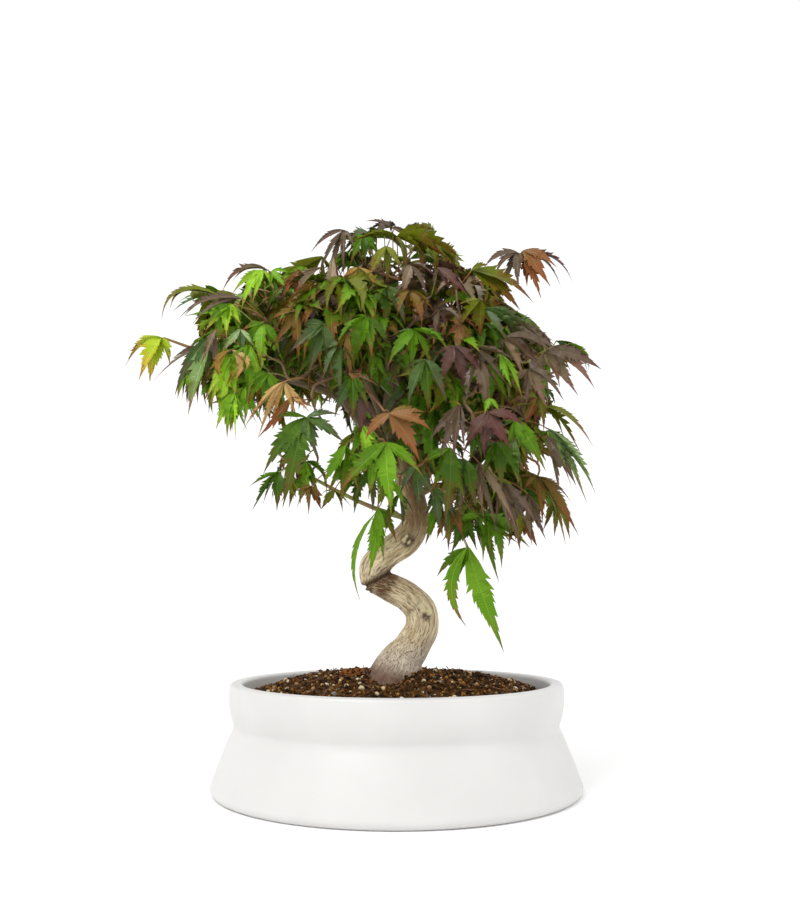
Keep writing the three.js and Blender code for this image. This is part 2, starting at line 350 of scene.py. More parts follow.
@dataclass(frozen=True)
class Glaze:
    """The pot's satin white glaze, with a faint unevenness."""

    light: str = "#cfcecc"
    shade: str = "#cbcac8"
    roughness: float = 0.4

    def material(self) -> bpy.types.Material:
        """Makes the material.

        Returns:
            The material.
        """
        sheet = Sheet("white_glaze")
        place = sheet.place()
        cloud = sheet.noise(place, 22.0, 3.0)
        grit = sheet.noise(place, 900.0, 2.0)
        return sheet.finish(
            Base_Color=sheet.blend(cloud.ramp(0.35, 0.7), tone(self.light), tone(self.shade)),
            Roughness=self.roughness + 0.08 * (cloud - 0.5) + 0.06 * (grit - 0.5),
            Normal=sheet.bump(cloud + 0.05 * grit, 0.0004, 0.25),
        )


@dataclass(frozen=True)
class Loam:
    """Dark crumbly compost."""

    name: str = "loam"
    dark: str = "#25180a"
    light: str = "#704a1a"
    roughness: float = 0.92
    mirror: float = 0.12

    def material(self) -> bpy.types.Material:
        """Makes the material.

        Returns:
            The material.
        """
        sheet = Sheet(self.name)
        place = sheet.place()
        crumbs = sheet.noise(place, 420.0, 4.0)
        damp = sheet.noise(place, 60.0, 2.0)
        shade = crumbs.ramp(0.4, 0.72) * (0.55 + 0.6 * damp)
        return sheet.finish(
            Base_Color=sheet.blend(shade, tone(self.dark), tone(self.light)),
            Roughness=self.roughness - 0.12 * damp,
            Specular_IOR_Level=self.mirror,
            Normal=sheet.bump(crumbs, 0.0012, 0.8),
        )


@dataclass(frozen=True)
class Grit:
    """One kind of grain that lies in the compost."""

    name: str
    dark: str
    light: str

    def material(self) -> bpy.types.Material:
        """Makes the material.

        Returns:
            The material.
        """
        sheet = Sheet(self.name)
        place = sheet.place()
        pores = sheet.noise(place, 1400.0, 3.0)
        return sheet.finish(
            Base_Color=sheet.blend(pores.ramp(0.35, 0.65), tone(self.dark), tone(self.light)),
            Roughness=0.85 + 0.1 * (pores - 0.5),
            Normal=sheet.bump(pores, 0.0004, 0.6),
        )


@dataclass(frozen=True)
class Bark:
    """Pale bark with fine lines along the limb, browner at the foot, with painted shade in the crease and the
    hollow below it, on the right of the upper trunk and inside the crown.
    """

    name: str
    pale: str = "#f9e8c2"
    straw: str = "#dfc79a"
    olive: str = "#a8965a"
    crack: str = "#7c5a36"
    foot: str = "#6c4a3c"
    ash: str = "#e2d6c8"
    # Painted shade on the right side of the upper trunk.
    shaded: str = "#86633f"
    # Painted shade on the bark inside the crown, above the height where the crown begins.
    deep: str = "#4f4432"
    # Painted shade along the crease; the same dark colour also marks the scar and the knot rings.
    fold: str = "#46280f"
    # Painted shade in the hollow below the crease.
    painted_hollow_shade: str = "#62401f"
    stub: str = "#f4e6b4"
    foot_height: float = 0.08
    olive_height: float = 0.168
    crown_shade_height: float = 0.218
    wander: float = 0.0016
    stretch: tuple[float, float, float] = (1.0, 1.0, 0.3)

    def material(self) -> bpy.types.Material:
        """Makes the material.

        Returns:
            The material.
        """
        sheet = Sheet(self.name)
        place = sheet.place()
        grain = sheet.attribute("grain")
        given = {"Vector": grain, "Scale": 300.0, "Detail": 2.0}
        wander = sheet.node("ShaderNodeTexNoise", {}, given, "Color")
        given = {0: wander, 1: (self.wander,) * 3, 2: grain}
        bent = sheet.node("ShaderNodeVectorMath", {"operation": "MULTIPLY_ADD"}, given)
        given = {0: bent, 1: self.stretch}
        drawn = sheet.node("ShaderNodeVectorMath", {"operation": "MULTIPLY"}, given)
        lines = 1 - abs(sheet.noise(drawn, 1120.0, 1.0) - 0.5).ramp(0.0, 0.075)
        furrows = 1 - abs(sheet.noise(drawn, 700.0, 2.0) - 0.5).ramp(0.0, 0.05)
        fine = sheet.noise(grain, 1300.0, 4.0)
        broad = sheet.noise(grain, 240.0, 3.0)
        streaks = 1 - sheet.noise(drawn, 1150.0, 1.0).ramp(0.34, 0.56)
        cracks = (0.5 * lines + 0.55 * furrows + 0.4 * streaks) * (0.65 + 0.45 * fine.ramp(0.35, 0.6))
        mottle = sheet.noise(place, 120.0, 3.0)
        height, aside = sheet.part(place, "Z"), sheet.part(place, "X")
        colour = sheet.blend(broad.ramp(0.34, 0.62), tone(self.straw), tone(self.pale))
        ashy = 1 - height.ramp(0.086, 0.104)
        colour = sheet.blend(ashy * (0.35 + 0.7 * broad), colour, tone(self.ash))
        high = height.ramp(self.olive_height - 0.025, self.olive_height + 0.03)
        colour = sheet.blend(high * (0.4 + 0.7 * mottle), colour, tone(self.olive))
        # Painted shade: the right side of the upper trunk is darkened towards the shaded colour.
        right = (aside * 60.0 + mottle - 0.45 + 4.0 * (height - 0.15)).ramp(0.25, 0.95)
        colour = sheet.blend(right * high * 0.92, colour, tone(self.shaded))
        edge = height + 0.35 * aside + 0.012 * (mottle - 0.5)
        low = 1 - edge.ramp(self.foot_height - 0.007, self.foot_height + 0.006)
        colour = sheet.blend(low * (0.5 + 0.75 * mottle), colour, tone(self.foot))
        # Painted shade: the bark darkens inside the crown.
        up = height.ramp(self.crown_shade_height - 0.02, self.crown_shade_height + 0.02)
        colour = sheet.blend(up * 0.8, colour, tone(self.deep))
        colour = sheet.blend(cracks.ramp(0.12, 1.0) * 0.9, colour, tone(self.crack))
        # The marks: painted shade along the crease (with the darker scar and knot rings), painted shade in
        # the hollow below it, and the pale of the stubs.
        marks = sheet.attribute("marks")
        fold, shade, stub = (sheet.part(marks, axis) for axis in "XYZ")
        colour = sheet.blend(shade * (0.6 + 0.6 * fine.ramp(0.3, 0.7)), colour, tone(self.painted_hollow_shade))
        colour = sheet.blend(fold * (0.75 + 0.4 * fine), colour, tone(self.fold))
        colour = sheet.blend(stub * (0.6 + 0.7 * fine), colour, tone(self.stub))
        return sheet.finish(
            Base_Color=colour,
            Roughness=0.8 + 0.12 * (fine - 0.5),
            Normal=sheet.bump(broad * 0.5 + fine * 0.4 - cracks * 0.7, 0.001, 0.85),
        )


@dataclass(frozen=True)
class Stalk:
    """The skin of a twig or of a leaf's stalk."""

    name: str
    base: str
    other: str
    roughness: float = 0.55

    def material(self) -> bpy.types.Material:
        """Makes the material.

        Returns:
            The material.
        """
        sheet = Sheet(self.name)
        place = sheet.place()
        patches = sheet.noise(place, 70.0, 2.0)
        lines = sheet.noise(sheet.attribute("grain"), 1500.0, 2.0)
        return sheet.finish(
            Base_Color=sheet.blend(patches.ramp(0.35, 0.65), tone(self.base), tone(self.other)),
            Roughness=self.roughness + 0.15 * (lines - 0.5),
            Normal=sheet.bump(lines, 0.0003, 0.5),
        )


@dataclass(frozen=True)
class Blade:
    """The blade of a leaf in one plain colour, a little glossy, with sunk side veins."""

    name: str
    colour: str
    gloss: float = 0.32
    mirror: float = 0.15
    lightness: float = 1.52

    def material(self) -> bpy.types.Material:
        """Makes the material.

        Returns:
            The material.
        """
        sheet = Sheet(self.name)
        grain = sheet.attribute("grain")
        across, along = abs(sheet.part(grain, "X")), sheet.part(grain, "Y")
        veins = abs((along * 2.0 + across * 1.1).fraction() - 0.5) * 2.0
        groove = veins.ramp(0.28, 0.0) * across.ramp(0.0, 0.12)
        place = sheet.place()
        crinkle = sheet.noise(place, 260.0, 3.0)
        wrinkle = sheet.noise(place, 900.0, 2.0)
        return sheet.finish(
            Base_Color=(*(min(1.0, part * self.lightness) for part in tone(self.colour)[:3]), 1.0),
            Specular_IOR_Level=self.mirror,
            Roughness=self.gloss + 0.22 * (crinkle - 0.5) + 0.08 * groove,
            Normal=sheet.bump(crinkle + 0.35 * wrinkle - 0.4 * groove, 0.0008, 0.7),
        )


class Tint(Enum):
    """The tints of whole sprays of leaves: four colours from a lobe's foot to its tip, and its rib's."""

    LIME = ("#a9bd30", "#a0b426", "#b0a230", "#9c7632", "#bdcc58")
    FRESH = ("#7ba226", "#71981c", "#7c9424", "#826630", "#92b44a")
    BRIGHT = ("#5a8016", "#4f760e", "#5a7214", "#6a4e1e", "#70942e")
    GREEN = ("#486a0e", "#3f5f0a", "#4a560e", "#5c401a", "#5a7a22")
    DEEP = ("#38520c", "#31490a", "#3e420e", "#483818", "#46621e")
    SEA = ("#405622", "#384c1e", "#404420", "#4a3a24", "#54703a")
    PALE = ("#7c965c", "#6e8848", "#647832", "#6c5832", "#a0b488")
    MOSS = ("#60661c", "#5a5e18", "#60501c", "#643c1e", "#727638")
    OLIVE = ("#686e14", "#626a10", "#6a5a18", "#6e4420", "#7e8238")
    AMBER = ("#806a2c", "#806228", "#845a26", "#844c22", "#96743e")
    BRONZE = ("#604b1c", "#5c4818", "#623e1e", "#62341c", "#6e5c34")
    MAUVE = ("#64543a", "#5d4d34", "#5e4231", "#5c362b", "#74664a")
    SMOKE = ("#50412e", "#4a3b2a", "#4b3527", "#492d24", "#5e5139")
    PLUM = ("#523c35", "#4e342d", "#4c2c27", "#4a2621", "#64483e")
    RUST = ("#805c34", "#815630", "#84502c", "#844a24", "#987048")
    TAN = ("#b89a62", "#b08e56", "#a47a46", "#8e5e38", "#9c8460")

    def near(self, rng: np.random.Generator) -> "Tint":
        """This tint, or now and then one like it, as the lobes of one leaf differ."""
        return Tint[LIKE[self.name]] if rng.random() < LIKE_SHARE else self

    @property
    def finishes(self) -> tuple[Blade, ...]:
        """The finishes of a lobe from its foot to its tip, and then of its midrib.

        Returns:
            The five finishes.
        """
        label = self.name.lower()
        parts = ("foot", "middle", "upper", "tip", "rib")
        mirror = MIRROR.get(label, Blade.mirror)
        lightness = LIGHTNESS.get(label, Blade.lightness)
        return tuple(
            Blade(f"leaf_{label}_{part}", colour, mirror=mirror, lightness=lightness)
            for part, colour in zip(parts, self.value)
        )


# Which tint a lobe takes now and then instead of its leaf's own.
LIKE_SHARE = 0.22
LIKE = {
    "LIME": "FRESH", "FRESH": "BRIGHT", "BRIGHT": "GREEN", "GREEN": "DEEP", "DEEP": "SEA",
    "SEA": "DEEP", "PALE": "SEA", "MOSS": "OLIVE", "OLIVE": "MOSS", "AMBER": "MOSS",
    "BRONZE": "MOSS", "MAUVE": "SMOKE", "SMOKE": "MAUVE", "PLUM": "SMOKE", "RUST": "BRONZE",
    "TAN": "RUST",
}

# How much light the blades of a tint mirror, and how light they are, where they differ from Blade.
MIRROR = {"mauve": 0.46, "smoke": 0.46, "pale": 0.4, "sea": 0.3, "olive": 0.06, "lime": 0.08}
LIGHTNESS = {
    "lime": 1.08, "fresh": 1.5, "bright": 1.5, "sea": 1.26, "pale": 1.12, "moss": 1.4,
    "olive": 0.86, "amber": 1.34, "bronze": 1.5, "mauve": 1.54, "smoke": 1.48, "plum": 1.3,
    "rust": 1.0, "tan": 1.1,
}


class Finishes:
    """Makes each material once and gives it to every piece that asks for it."""

    def __init__(self) -> None:
        """Starts with no material made."""
        self._made: dict[str, bpy.types.Material] = {}

    def of(self, finish: object) -> bpy.types.Material:
        """The material of a finish.

        Args:
            finish: A finish with a material method.

        Returns:
            Its material, which is made at the first call.
        """
        key = repr(finish)
        if key not in self._made:
            self._made[key] = finish.material()
        return self._made[key]


FINISHES = Finishes()


# ------------------------------------------------------------------ pieces of mesh


class Piece:
    """Gathers the faces of one named piece, each with its finish."""

    def __init__(self, name: str) -> None:
        """Starts an empty piece.

        Args:
            name: The piece's name.
        """
        self.name = name
        self.points: list[np.ndarray] = []
        self.grains: list[np.ndarray] = []
        self.marks: list[np.ndarray] = []
        self.faces: list[tuple[np.ndarray, np.ndarray]] = []
        self.finishes: list[object] = []
        self.count = 0

    def slot(self, finish: object) -> int:
        """The number of a finish among the piece's own.

        Args:
            finish: The finish, which the piece takes up where it's new.

        Returns:
            Its number.
        """
        if finish not in self.finishes:
            self.finishes.append(finish)
        return self.finishes.index(finish)

    def add(
        self,
        points: np.ndarray,
        faces: Iterable[tuple[np.ndarray, np.ndarray]],
        grain: np.ndarray | None = None,
        marks: np.ndarray | None = None,
    ) -> None:
        """Adds points and the faces on them.

        Args:
            points: One point a row, in metres.
            faces: Pairs of an array of faces, all with the same number of corners, and the
                finish number of each face.
            grain: A vector for each point, which the finishes read, or None for the points.
            marks: A second such vector for every point of the piece, or None for none.
        """
        self.points.append(points)
        self.grains.append(points if grain is None else grain)
        if marks is not None:
            self.marks.append(marks)
        for corners, slots in faces:
            self.faces.append((corners + self.count, np.broadcast_to(slots, len(corners))))
        self.count += len(points)

    def add_tube(self, line: np.ndarray, radii: np.ndarray, sides: int, finish: object) -> None:
        """Adds a closed tube of one finish.

        Args:
            line: Its middle line, one point a row, in millimetres.
            radii: Its radius at each point, in millimetres.
            sides: How many sides it has.
            finish: Its finish.
        """
        points, walls, caps, grain = tube(line * MM, radii * MM, sides)
        slot = self.slot(finish)
        self.add(points, [(walls, slot), (caps, slot)], grain)

    def build(self, slot: str, stands_for: Sequence[str] = ()) -> bpy.types.Object:
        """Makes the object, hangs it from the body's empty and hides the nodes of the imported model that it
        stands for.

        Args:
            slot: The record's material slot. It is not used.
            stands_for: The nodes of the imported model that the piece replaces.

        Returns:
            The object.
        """
        mesh = bpy.data.meshes.new(self.name)
        points = np.vstack(self.points)
        corners = np.concatenate([f.ravel() for f, _ in self.faces])
        slots = np.concatenate([s for _, s in self.faces])
        sizes = np.concatenate([np.full(len(f), f.shape[1]) for f, _ in self.faces])
        starts = np.concatenate([[0], np.cumsum(sizes)[:-1]])
        mesh.vertices.add(len(points))
        mesh.vertices.foreach_set("co", points.astype(np.float32).ravel())
        mesh.loops.add(int(sizes.sum()))
        mesh.loops.foreach_set("vertex_index", corners.astype(np.int32))
        mesh.polygons.add(len(sizes))
        mesh.polygons.foreach_set("loop_start", starts.astype(np.int32))
        for finish in self.finishes:
            mesh.materials.append(FINISHES.of(finish))
        mesh.polygons.foreach_set("material_index", slots.astype(np.int32))
        mesh.polygons.foreach_set("use_smooth", np.ones(len(sizes), bool))
        for name, rows in (("grain", self.grains), ("marks", self.marks)):
            if rows:
                carried = mesh.attributes.new(name, "FLOAT_VECTOR", "POINT")
                carried.data.foreach_set("vector", np.vstack(rows).astype(np.float32).ravel())
        mesh.update(calc_edges=True)
        mesh.validate()
        piece = bpy.data.objects.new(self.name, mesh)
        bpy.context.scene.collection.objects.link(piece)
        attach(piece, BODY)
        if stands_for:
            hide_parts(*stands_for)
        log.info("%s: %d faces", self.name, len(sizes))
        return piece


def grid_faces(rows: int, columns: int, closed: bool) -> np.ndarray:
    """Four-cornered faces over a grid of points, row after row.

    Args:
        rows: How many rows of points there are.
        columns: How many points a row has.
        closed: Whether each row's last point joins its first.

    Returns:
        The faces.
    """
    i, j = np.meshgrid(np.arange(rows - 1), np.arange(columns if closed else columns - 1), indexing="ij")
    here = i * columns + j
    beside = i * columns + (j + 1) % columns
    return np.stack([here, beside, beside + columns, here + columns], -1).reshape(-1, 4)


def end_fans(rings: int, sides: int) -> np.ndarray:
    """Triangles that close both ends of a round grid of points.

    Args:
        rings: How many rings of points there are. The middles of both ends follow them.
        sides: How many points a ring has.

    Returns:
        The triangles of both ends.
    """
    middle = rings * sides
    top = middle - sides
    steps = np.arange(sides)
    following = (steps + 1) % sides
    first = np.stack([np.full(sides, middle), following, steps], -1)
    last = np.stack([np.full(sides, middle + 1), top + steps, top + following], -1)
    return np.vstack([first, last])


def spun(
    profile: np.ndarray, segments: int, warp: Warp | None = None
) -> tuple[np.ndarray, np.ndarray, np.ndarray]:
    """Spins a profile that starts and ends on the axis.

    Args:
        profile: Rows of radius and height, without the two points on the axis.
        segments: How many steps there are in a turn.
        warp: Moves the points, which it gets one a row, or None.

    Returns:
        The points, the four-cornered faces and the two fans of triangles that close them.
    """
    turn = np.linspace(0, 2 * math.pi, segments, endpoint=False)
    radius, height = profile[:, :1], profile[:, 1:]
    ring = np.stack([radius * np.cos(turn), radius * np.sin(turn), height + 0 * turn], -1)
    points = ring.reshape(-1, 3)
    ends = np.array([[0, 0, profile[0, 1]], [0, 0, profile[-1, 1]]])
    points = np.vstack([points, ends])
    if warp is not None:
        points = warp(points)
    return points, grid_faces(len(profile), segments, True), end_fans(len(profile), segments)


def tube(
    line: np.ndarray, radii: np.ndarray, sides: int
) -> tuple[np.ndarray, np.ndarray, np.ndarray, np.ndarray]:
    """A closed tube along a line.

    Args:
        line: The line's points, one a row.
        radii: The radius at each point.
        sides: How many sides the tube has.

    Returns:
        The points, the four-cornered faces, the triangles of both ends, and each point's
        place on a straight round stick, whose length is shortened so that a pattern runs along it.
    """
    _, first, second = carried_frames(line)
    turn = np.linspace(0, 2 * math.pi, sides, endpoint=False)
    spokes = first[:, None] * np.cos(turn)[:, None] + second[:, None] * np.sin(turn)[:, None]
    along = lengths_along(line)
    rings = line[:, None] + spokes * radii[:, None, None]
    stick = np.stack(
        [radii[:, None] * np.cos(turn), radii[:, None] * np.sin(turn), along[:, None] + 0 * turn], -1
    )
    points = np.vstack([rings.reshape(-1, 3), line[:1], line[-1:]])
    grain = np.vstack([stick.reshape(-1, 3), [[0, 0, 0]], [[0, 0, along[-1]]]]) * [1, 1, 0.07]
    return points, grid_faces(len(line), sides, True), end_fans(len(line), sides), grain


# ------------------------------------------------------------------ pot and soil


@dataclass
class Pot:
    """The round pot: a wide rounded foot, a waisted neck and a thick rolled lip."""

    height: float = 71.0
    foot_radius: float = 124.5
    foot_corner: float = 4.6
    foot_bulge: float = 0.6
    neck_radius: float = 109.4
    neck_height: float = 43.2
    rim_radius: float = 113.0
    rim_bulge: float = 1.8
    lip: float = 9.0
    lip_corner: float = 2.3
    wall: float = 7.0
    floor: float = 8.0
    softness: float = 2.2
    soft_from: float = 4.0
    middle_radius: float = 40.0
    outer_radius: float = 90.0
    segments: int = 192
    SIDE_STEPS = 24

    @staticmethod
    def _arc(
        centre: tuple[float, float], radius: float, start: float, end: float, steps: int = 9
    ) -> np.ndarray:
        """Points on part of a circle, in degrees."""
        turn = np.radians(np.linspace(start, end, steps))
        return np.column_stack([centre[0] + radius * np.cos(turn), centre[1] + radius * np.sin(turn)])

    def _side(self, low: tuple[float, float], high: tuple[float, float], bulge: float) -> np.ndarray:
        """Points up a slightly bulging side, both ends left out.

        Args:
            low: Radius and height of its lower end.
            high: Radius and height of its upper end.
            bulge: How far it stands out in its middle.

        Returns:
            The points, as rows of radius and height.
        """
        t = np.linspace(0, 1, self.SIDE_STEPS + 2)[1:-1, None]
        straight = np.array(low) * (1 - t) + np.array(high) * t
        return straight + np.hstack([4 * bulge * t * (1 - t), 0 * t])

    def outside(self) -> np.ndarray:
        """The outer wall's profile, softened at the neck.

        Returns:
            Rows of radius and height.
        """
        foot = (self.foot_radius, self.foot_corner)
        neck = (self.neck_radius, self.neck_height)
        edge = (self.rim_radius, self.height - self.lip_corner)
        lower = self._side(foot, neck, self.foot_bulge)
        upper = self._side(neck, edge, self.rim_bulge)
        wall = np.vstack([foot, lower, neck, upper, edge])
        gaps = np.abs(wall[:, None, 1] - wall[None, :, 1])
        weight = np.exp(-((gaps / self.softness) ** 2))
        soft = weight @ wall / weight.sum(1, keepdims=True)
        inside = np.minimum(wall[:, 1] - foot[1], edge[1] - wall[:, 1])[:, None]
        share = inside.clip(0, self.soft_from) / self.soft_from
        return wall * (1 - share) + soft * share

    def profile(self) -> np.ndarray:
        """The whole profile, from beside the axis underneath to beside it inside.

        Returns:
            Rows of radius and height.
        """
        corner = (self.foot_radius - self.foot_corner, self.foot_corner)
        rounding, lip_height = self.lip_corner, self.height - self.lip_corner
        inner_foot = self.foot_radius - self.foot_corner - self.wall
        return np.vstack(
            [
                [[self.middle_radius, 0.0], [self.outer_radius, 0.0]],
                self._arc(corner, self.foot_corner, -90, 0)[:-1],
                self.outside()[:-1],
                self._arc((self.rim_radius - rounding, lip_height), rounding, 0, 90),
                self._arc((self.rim_radius - self.lip + rounding, lip_height), rounding, 90, 180),
                [[self.rim_radius - self.lip - 0.4, self.height - self.lip]],
                [[self.neck_radius - self.wall, self.neck_height]],
                [[inner_foot, self.floor], [self.middle_radius, self.floor]],
            ]
        )

    def build(self) -> bpy.types.Object:
        """Makes the pot.

        Returns:
            The object.
        """
        piece = Piece("pot_body")
        points, walls, fans = spun(self.profile() * MM, self.segments)
        slot = piece.slot(Glaze())
        piece.add(points, [(walls, slot), (fans, slot)])
        return piece.build("pot", ["pot"])


@dataclass
class Soil:
    """The mound of compost, with crumbs, grit and fibres that lie on it."""

    edge_radius: float = 104.2
    edge_height: float = 61.0
    top_height: float = 75.5
    crest_radius: float = 26.0
    depth: float = 50.0
    flatness: float = 2.4
    lump_size: float = 17.0
    lump_height: float = 1.4
    crumb_size: float = 3.1
    crumb_height: float = 1.1
    rings: int = 110
    segments: int = 300
    middle_radius: float = 3.0
    underside_radius: float = 40.0
    trunk_radius: float = 17.0
    crumbs: int = 6400
    grains: int = 470
    patterns: int = 7
    size_power: float = 2.2
    fibres: int = 170
    fibre_length: tuple[float, float] = (3.0, 11.0)
    fibre_radius: tuple[float, float] = (0.16, 0.42)
    fibre_bend: float = 0.35
    fibre_rise: float = 2.2
    fibre_lift: float = 0.9
    # Each swell: the x and y of its middle, its half widths, and how far it lifts the mound.
    swells: tuple[tuple[float, float, float, float, float], ...] = (
        (-7, -34, 15, 24, -6.5), (20, -14, 10, 9, 4.5), (-26, -8, 9, 8, 3.2),
    )
    # The heap: the x and y of its middle, and its half widths.
    heap: tuple[float, float, float, float] = (-29.0, -13.0, 8.0, 6.0)
    heap_crumbs: int = 110
    seed: int = 11
    lattice: Lattice = field(default_factory=lambda: Lattice(5))

    def height_at(self, x: np.ndarray, y: np.ndarray) -> np.ndarray:
        """The height of the mound, in millimetres.

        Args:
            x: How far to the right the places are.
            y: How far back they are.

        Returns:
            The height at each place.
        """
        radius = np.hypot(x, y)
        out = ((radius - self.crest_radius) / (self.edge_radius - self.crest_radius)).clip(0, 1.0)
        smooth = self.top_height - (self.top_height - self.edge_height) * out**self.flatness
        place = np.column_stack([x.ravel(), y.ravel(), 0 * x.ravel()])
        lumps = self.lattice.layered(place / self.lump_size, 2).reshape(x.shape)
        crumbly = self.lattice.layered(place / self.crumb_size + 9, 3).reshape(x.shape)
        for middle_x, middle_y, half_x, half_y, lift in self.swells:
            away = ((x - middle_x) / half_x) ** 2 + ((y - middle_y) / half_y) ** 2
            smooth = smooth + lift * np.exp(-away)
        return smooth + self.lump_height * lumps + self.crumb_height * crumbly

    def mound(self) -> bpy.types.Object:
        """Makes the mound.

        Returns:
            The object.
        """
        piece = Piece("soil_mound")
        radii = np.linspace(self.edge_radius, self.middle_radius, self.rings)
        top = np.column_stack([radii, np.full(self.rings, self.top_height)])
        underside = self.edge_height - self.depth
        bottom = [[self.underside_radius, underside], [self.edge_radius - 3, underside]]
        profile = np.vstack([bottom, top])

        def warp(points: np.ndarray) -> np.ndarray:
            """Lifts the top points onto the mound.

            Args:
                points: One point a row.

            Returns:
                The points with their new heights.
            """
            raised = points.copy()
            top_points = points[:, 2] > self.edge_height
            raised[top_points, 2] = self.height_at(points[top_points, 0], points[top_points, 1])
            return raised

        points, walls, fans = spun(profile, self.segments, warp)
        slot = piece.slot(Loam())
        piece.add(points * MM, [(walls, slot), (fans, slot)])
        return piece.build("soil", ["soil"])

    def _scatter(self, count: int, rng: np.random.Generator) -> np.ndarray:
        """Even random places on the mound, clear of the trunk.

        Args:
            count: How many are wanted.
            rng: The source of chance.

        Returns:
            The places, one a row.
        """
        radius = np.sqrt(rng.uniform(self.trunk_radius**2, (self.edge_radius - 1) ** 2, count))
        turn = rng.uniform(0, 2 * math.pi, count)
        x, y = radius * np.cos(turn), radius * np.sin(turn)
        return np.column_stack([x, y, self.height_at(x, y)])

    @staticmethod
    def _pebble(rng: np.random.Generator, rings: int) -> tuple[np.ndarray, np.ndarray]:
        """One uneven grain about 1 unit across, which is rougher where it's made more coarsely.

        Args:
            rng: The source of chance.
            rings: How finely it is made.

        Returns:
            Its points and its triangles.
        """
        sphere = bpy.data.meshes.new("grain_pattern")
        shape = bmesh.new()
        bmesh.ops.create_icosphere(shape, subdivisions=rings, radius=0.5)
        shape.to_mesh(sphere)
        shape.free()
        points = np.array([v.co for v in sphere.vertices])
        faces = np.array([p.vertices for p in sphere.polygons])
        bpy.data.meshes.remove(sphere)
        lattice = Lattice(int(rng.integers(1 << 30)))
        points *= 1 + 0.5 / rings * lattice.at(points * 2.6 + 11)[:, None]
        return points * rng.uniform(0.7, 1.15, 3), faces

    def _heap(self, rng: np.random.Generator) -> np.ndarray:
        """Places in the small heap of rusty crumbs beside the trunk's foot.

        Args:
            rng: The source of chance.

        Returns:
            The places, one a row.
        """
        middle_x, middle_y, half_x, half_y = self.heap
        x = middle_x + half_x * rng.normal(0, 0.6, self.heap_crumbs)
        y = middle_y + half_y * rng.normal(0, 0.6, self.heap_crumbs)
        return np.column_stack([x, y, self.height_at(x, y) + rng.uniform(0, 1.6, self.heap_crumbs)])

    def _strew(
        self,
        piece: Piece,
        sizes: tuple[float, float],
        places: np.ndarray,
        finishes: Sequence[tuple[object, float]],
        rings: int,
        sink: float,
        rng: np.random.Generator,
    ) -> None:
        """Strews grains over the mound.

        Args:
            piece: The piece that the grains join.
            sizes: The smallest and the largest grain, in millimetres.
            places: Where the grains lie, one a row, in millimetres.
            finishes: The finishes, each with its share of the grains.
            rings: How finely a grain is made.
            sink: How much of its size a grain is sunk.
            rng: The source of chance.
        """
        patterns = [self._pebble(rng, rings) for _ in range(self.patterns)]
        slots = [piece.slot(finish) for finish, _ in finishes]
        shares = np.array([share for _, share in finishes])
        for place in places:
            points, faces = patterns[rng.integers(len(patterns))]
            size = sizes[0] + (sizes[1] - sizes[0]) * rng.random() ** self.size_power
            turn = np.linalg.qr(rng.normal(size=(3, 3)))[0]
            if np.linalg.det(turn) < 0:
                turn[:, 0] *= -1
            moved = (points @ turn.T) * size + place + UP * size * (0.5 - sink)
            piece.add(moved * MM, [(faces, slots[rng.choice(len(slots), p=shares / shares.sum())])])

    def _crumbs(self, rng: np.random.Generator) -> Piece:
        """Strews the crumbs, and the heap of rusty ones.

        Args:
            rng: The source of chance.

        Returns:
            Their piece, not built yet.
        """
        piece = Piece("soil_crumbs")
        clod = Loam("crumb_rust", "#6c401c", "#a86f3a")
        kinds = [
            (Loam("crumb_dark", "#1a1006", "#4a2e12"), 4.6),
            (Loam("crumb_brown", "#3a230a", "#7c5020"), 4.0),
            (Loam("crumb_tan", "#785221", "#ba8e4e"), 1.4),
            (clod, 0.5),
        ]
        self._strew(piece, (0.7, 3.6), self._scatter(self.crumbs, rng), kinds, 1, 0.36, rng)
        self._strew(piece, (1.0, 3.2), self._heap(rng), [(clod, 1.0)], 1, 0.3, rng)
        return piece

    def _grit(self, rng: np.random.Generator) -> Piece:
        """Strews the pale and grey grit.

        Args:
            rng: The source of chance.

        Returns:
            Its piece, not built yet.
        """
        piece = Piece("soil_grit")
        kinds = [
            (Grit("grit_cream", "#a8966c", "#e2d3ac"), 4.6),
            (Grit("grit_white", "#b9b2a4", "#e4dfd2"), 1.0),
            (Grit("grit_tan", "#7d5d38", "#b58c5a"), 3.5),
            (Grit("grit_grey", "#615a50", "#8f887d"), 1.5),
        ]
        self._strew(piece, (0.8, 3.9), self._scatter(self.grains, rng), kinds, 2, 0.42, rng)
        return piece

    def _fibres(self, rng: np.random.Generator) -> Piece:
        """Lays the bent fibres.

        Args:
            rng: The source of chance.

        Returns:
            Their piece, not built yet.
        """
        piece = Piece("soil_fibres")
        kinds = [Stalk("fibre_orange", "#5e3616", "#7e4e22"), Stalk("fibre_brown", "#3a2610", "#58391a")]
        t = np.linspace(-0.5, 0.5, 6)
        for place in self._scatter(self.fibres, rng):
            heading = rng.uniform(0, 2 * math.pi)
            length = rng.uniform(*self.fibre_length)
            bend = rng.uniform(-self.fibre_bend, self.fibre_bend)
            x = place[0] + length * (t * math.cos(heading) - bend * t**2 * math.sin(heading))
            y = place[1] + length * (t * math.sin(heading) + bend * t**2 * math.cos(heading))
            if (np.hypot(x, y) < self.edge_radius - 1).all():
                rise = self.fibre_rise * rng.random() * (t + 0.5)
                line = np.column_stack([x, y, self.height_at(x, y) + self.fibre_lift + rise])
                radii = np.full(len(line), rng.uniform(*self.fibre_radius))
                piece.add_tube(line, radii, 4, kinds[rng.integers(2)])
        return piece

    def litter(self) -> list[bpy.types.Object]:
        """Makes the crumbs, the grit and the fibres.

        Returns:
            The three objects, in that order.
        """
        rng = np.random.default_rng(self.seed)
        pieces = [self._crumbs(rng), self._grit(rng), self._fibres(rng)]
        return [piece.build("soil") for piece in pieces]


# ------------------------------------------------------------------ trunk and boughs

Line = tuple[tuple[float, float, float, float], ...]
Path = tuple[tuple[float, float, float], ...]
FRONT_EDGE = 1.0
BEHIND_COUNTS = 3.0
PATH_STEP = 0.5


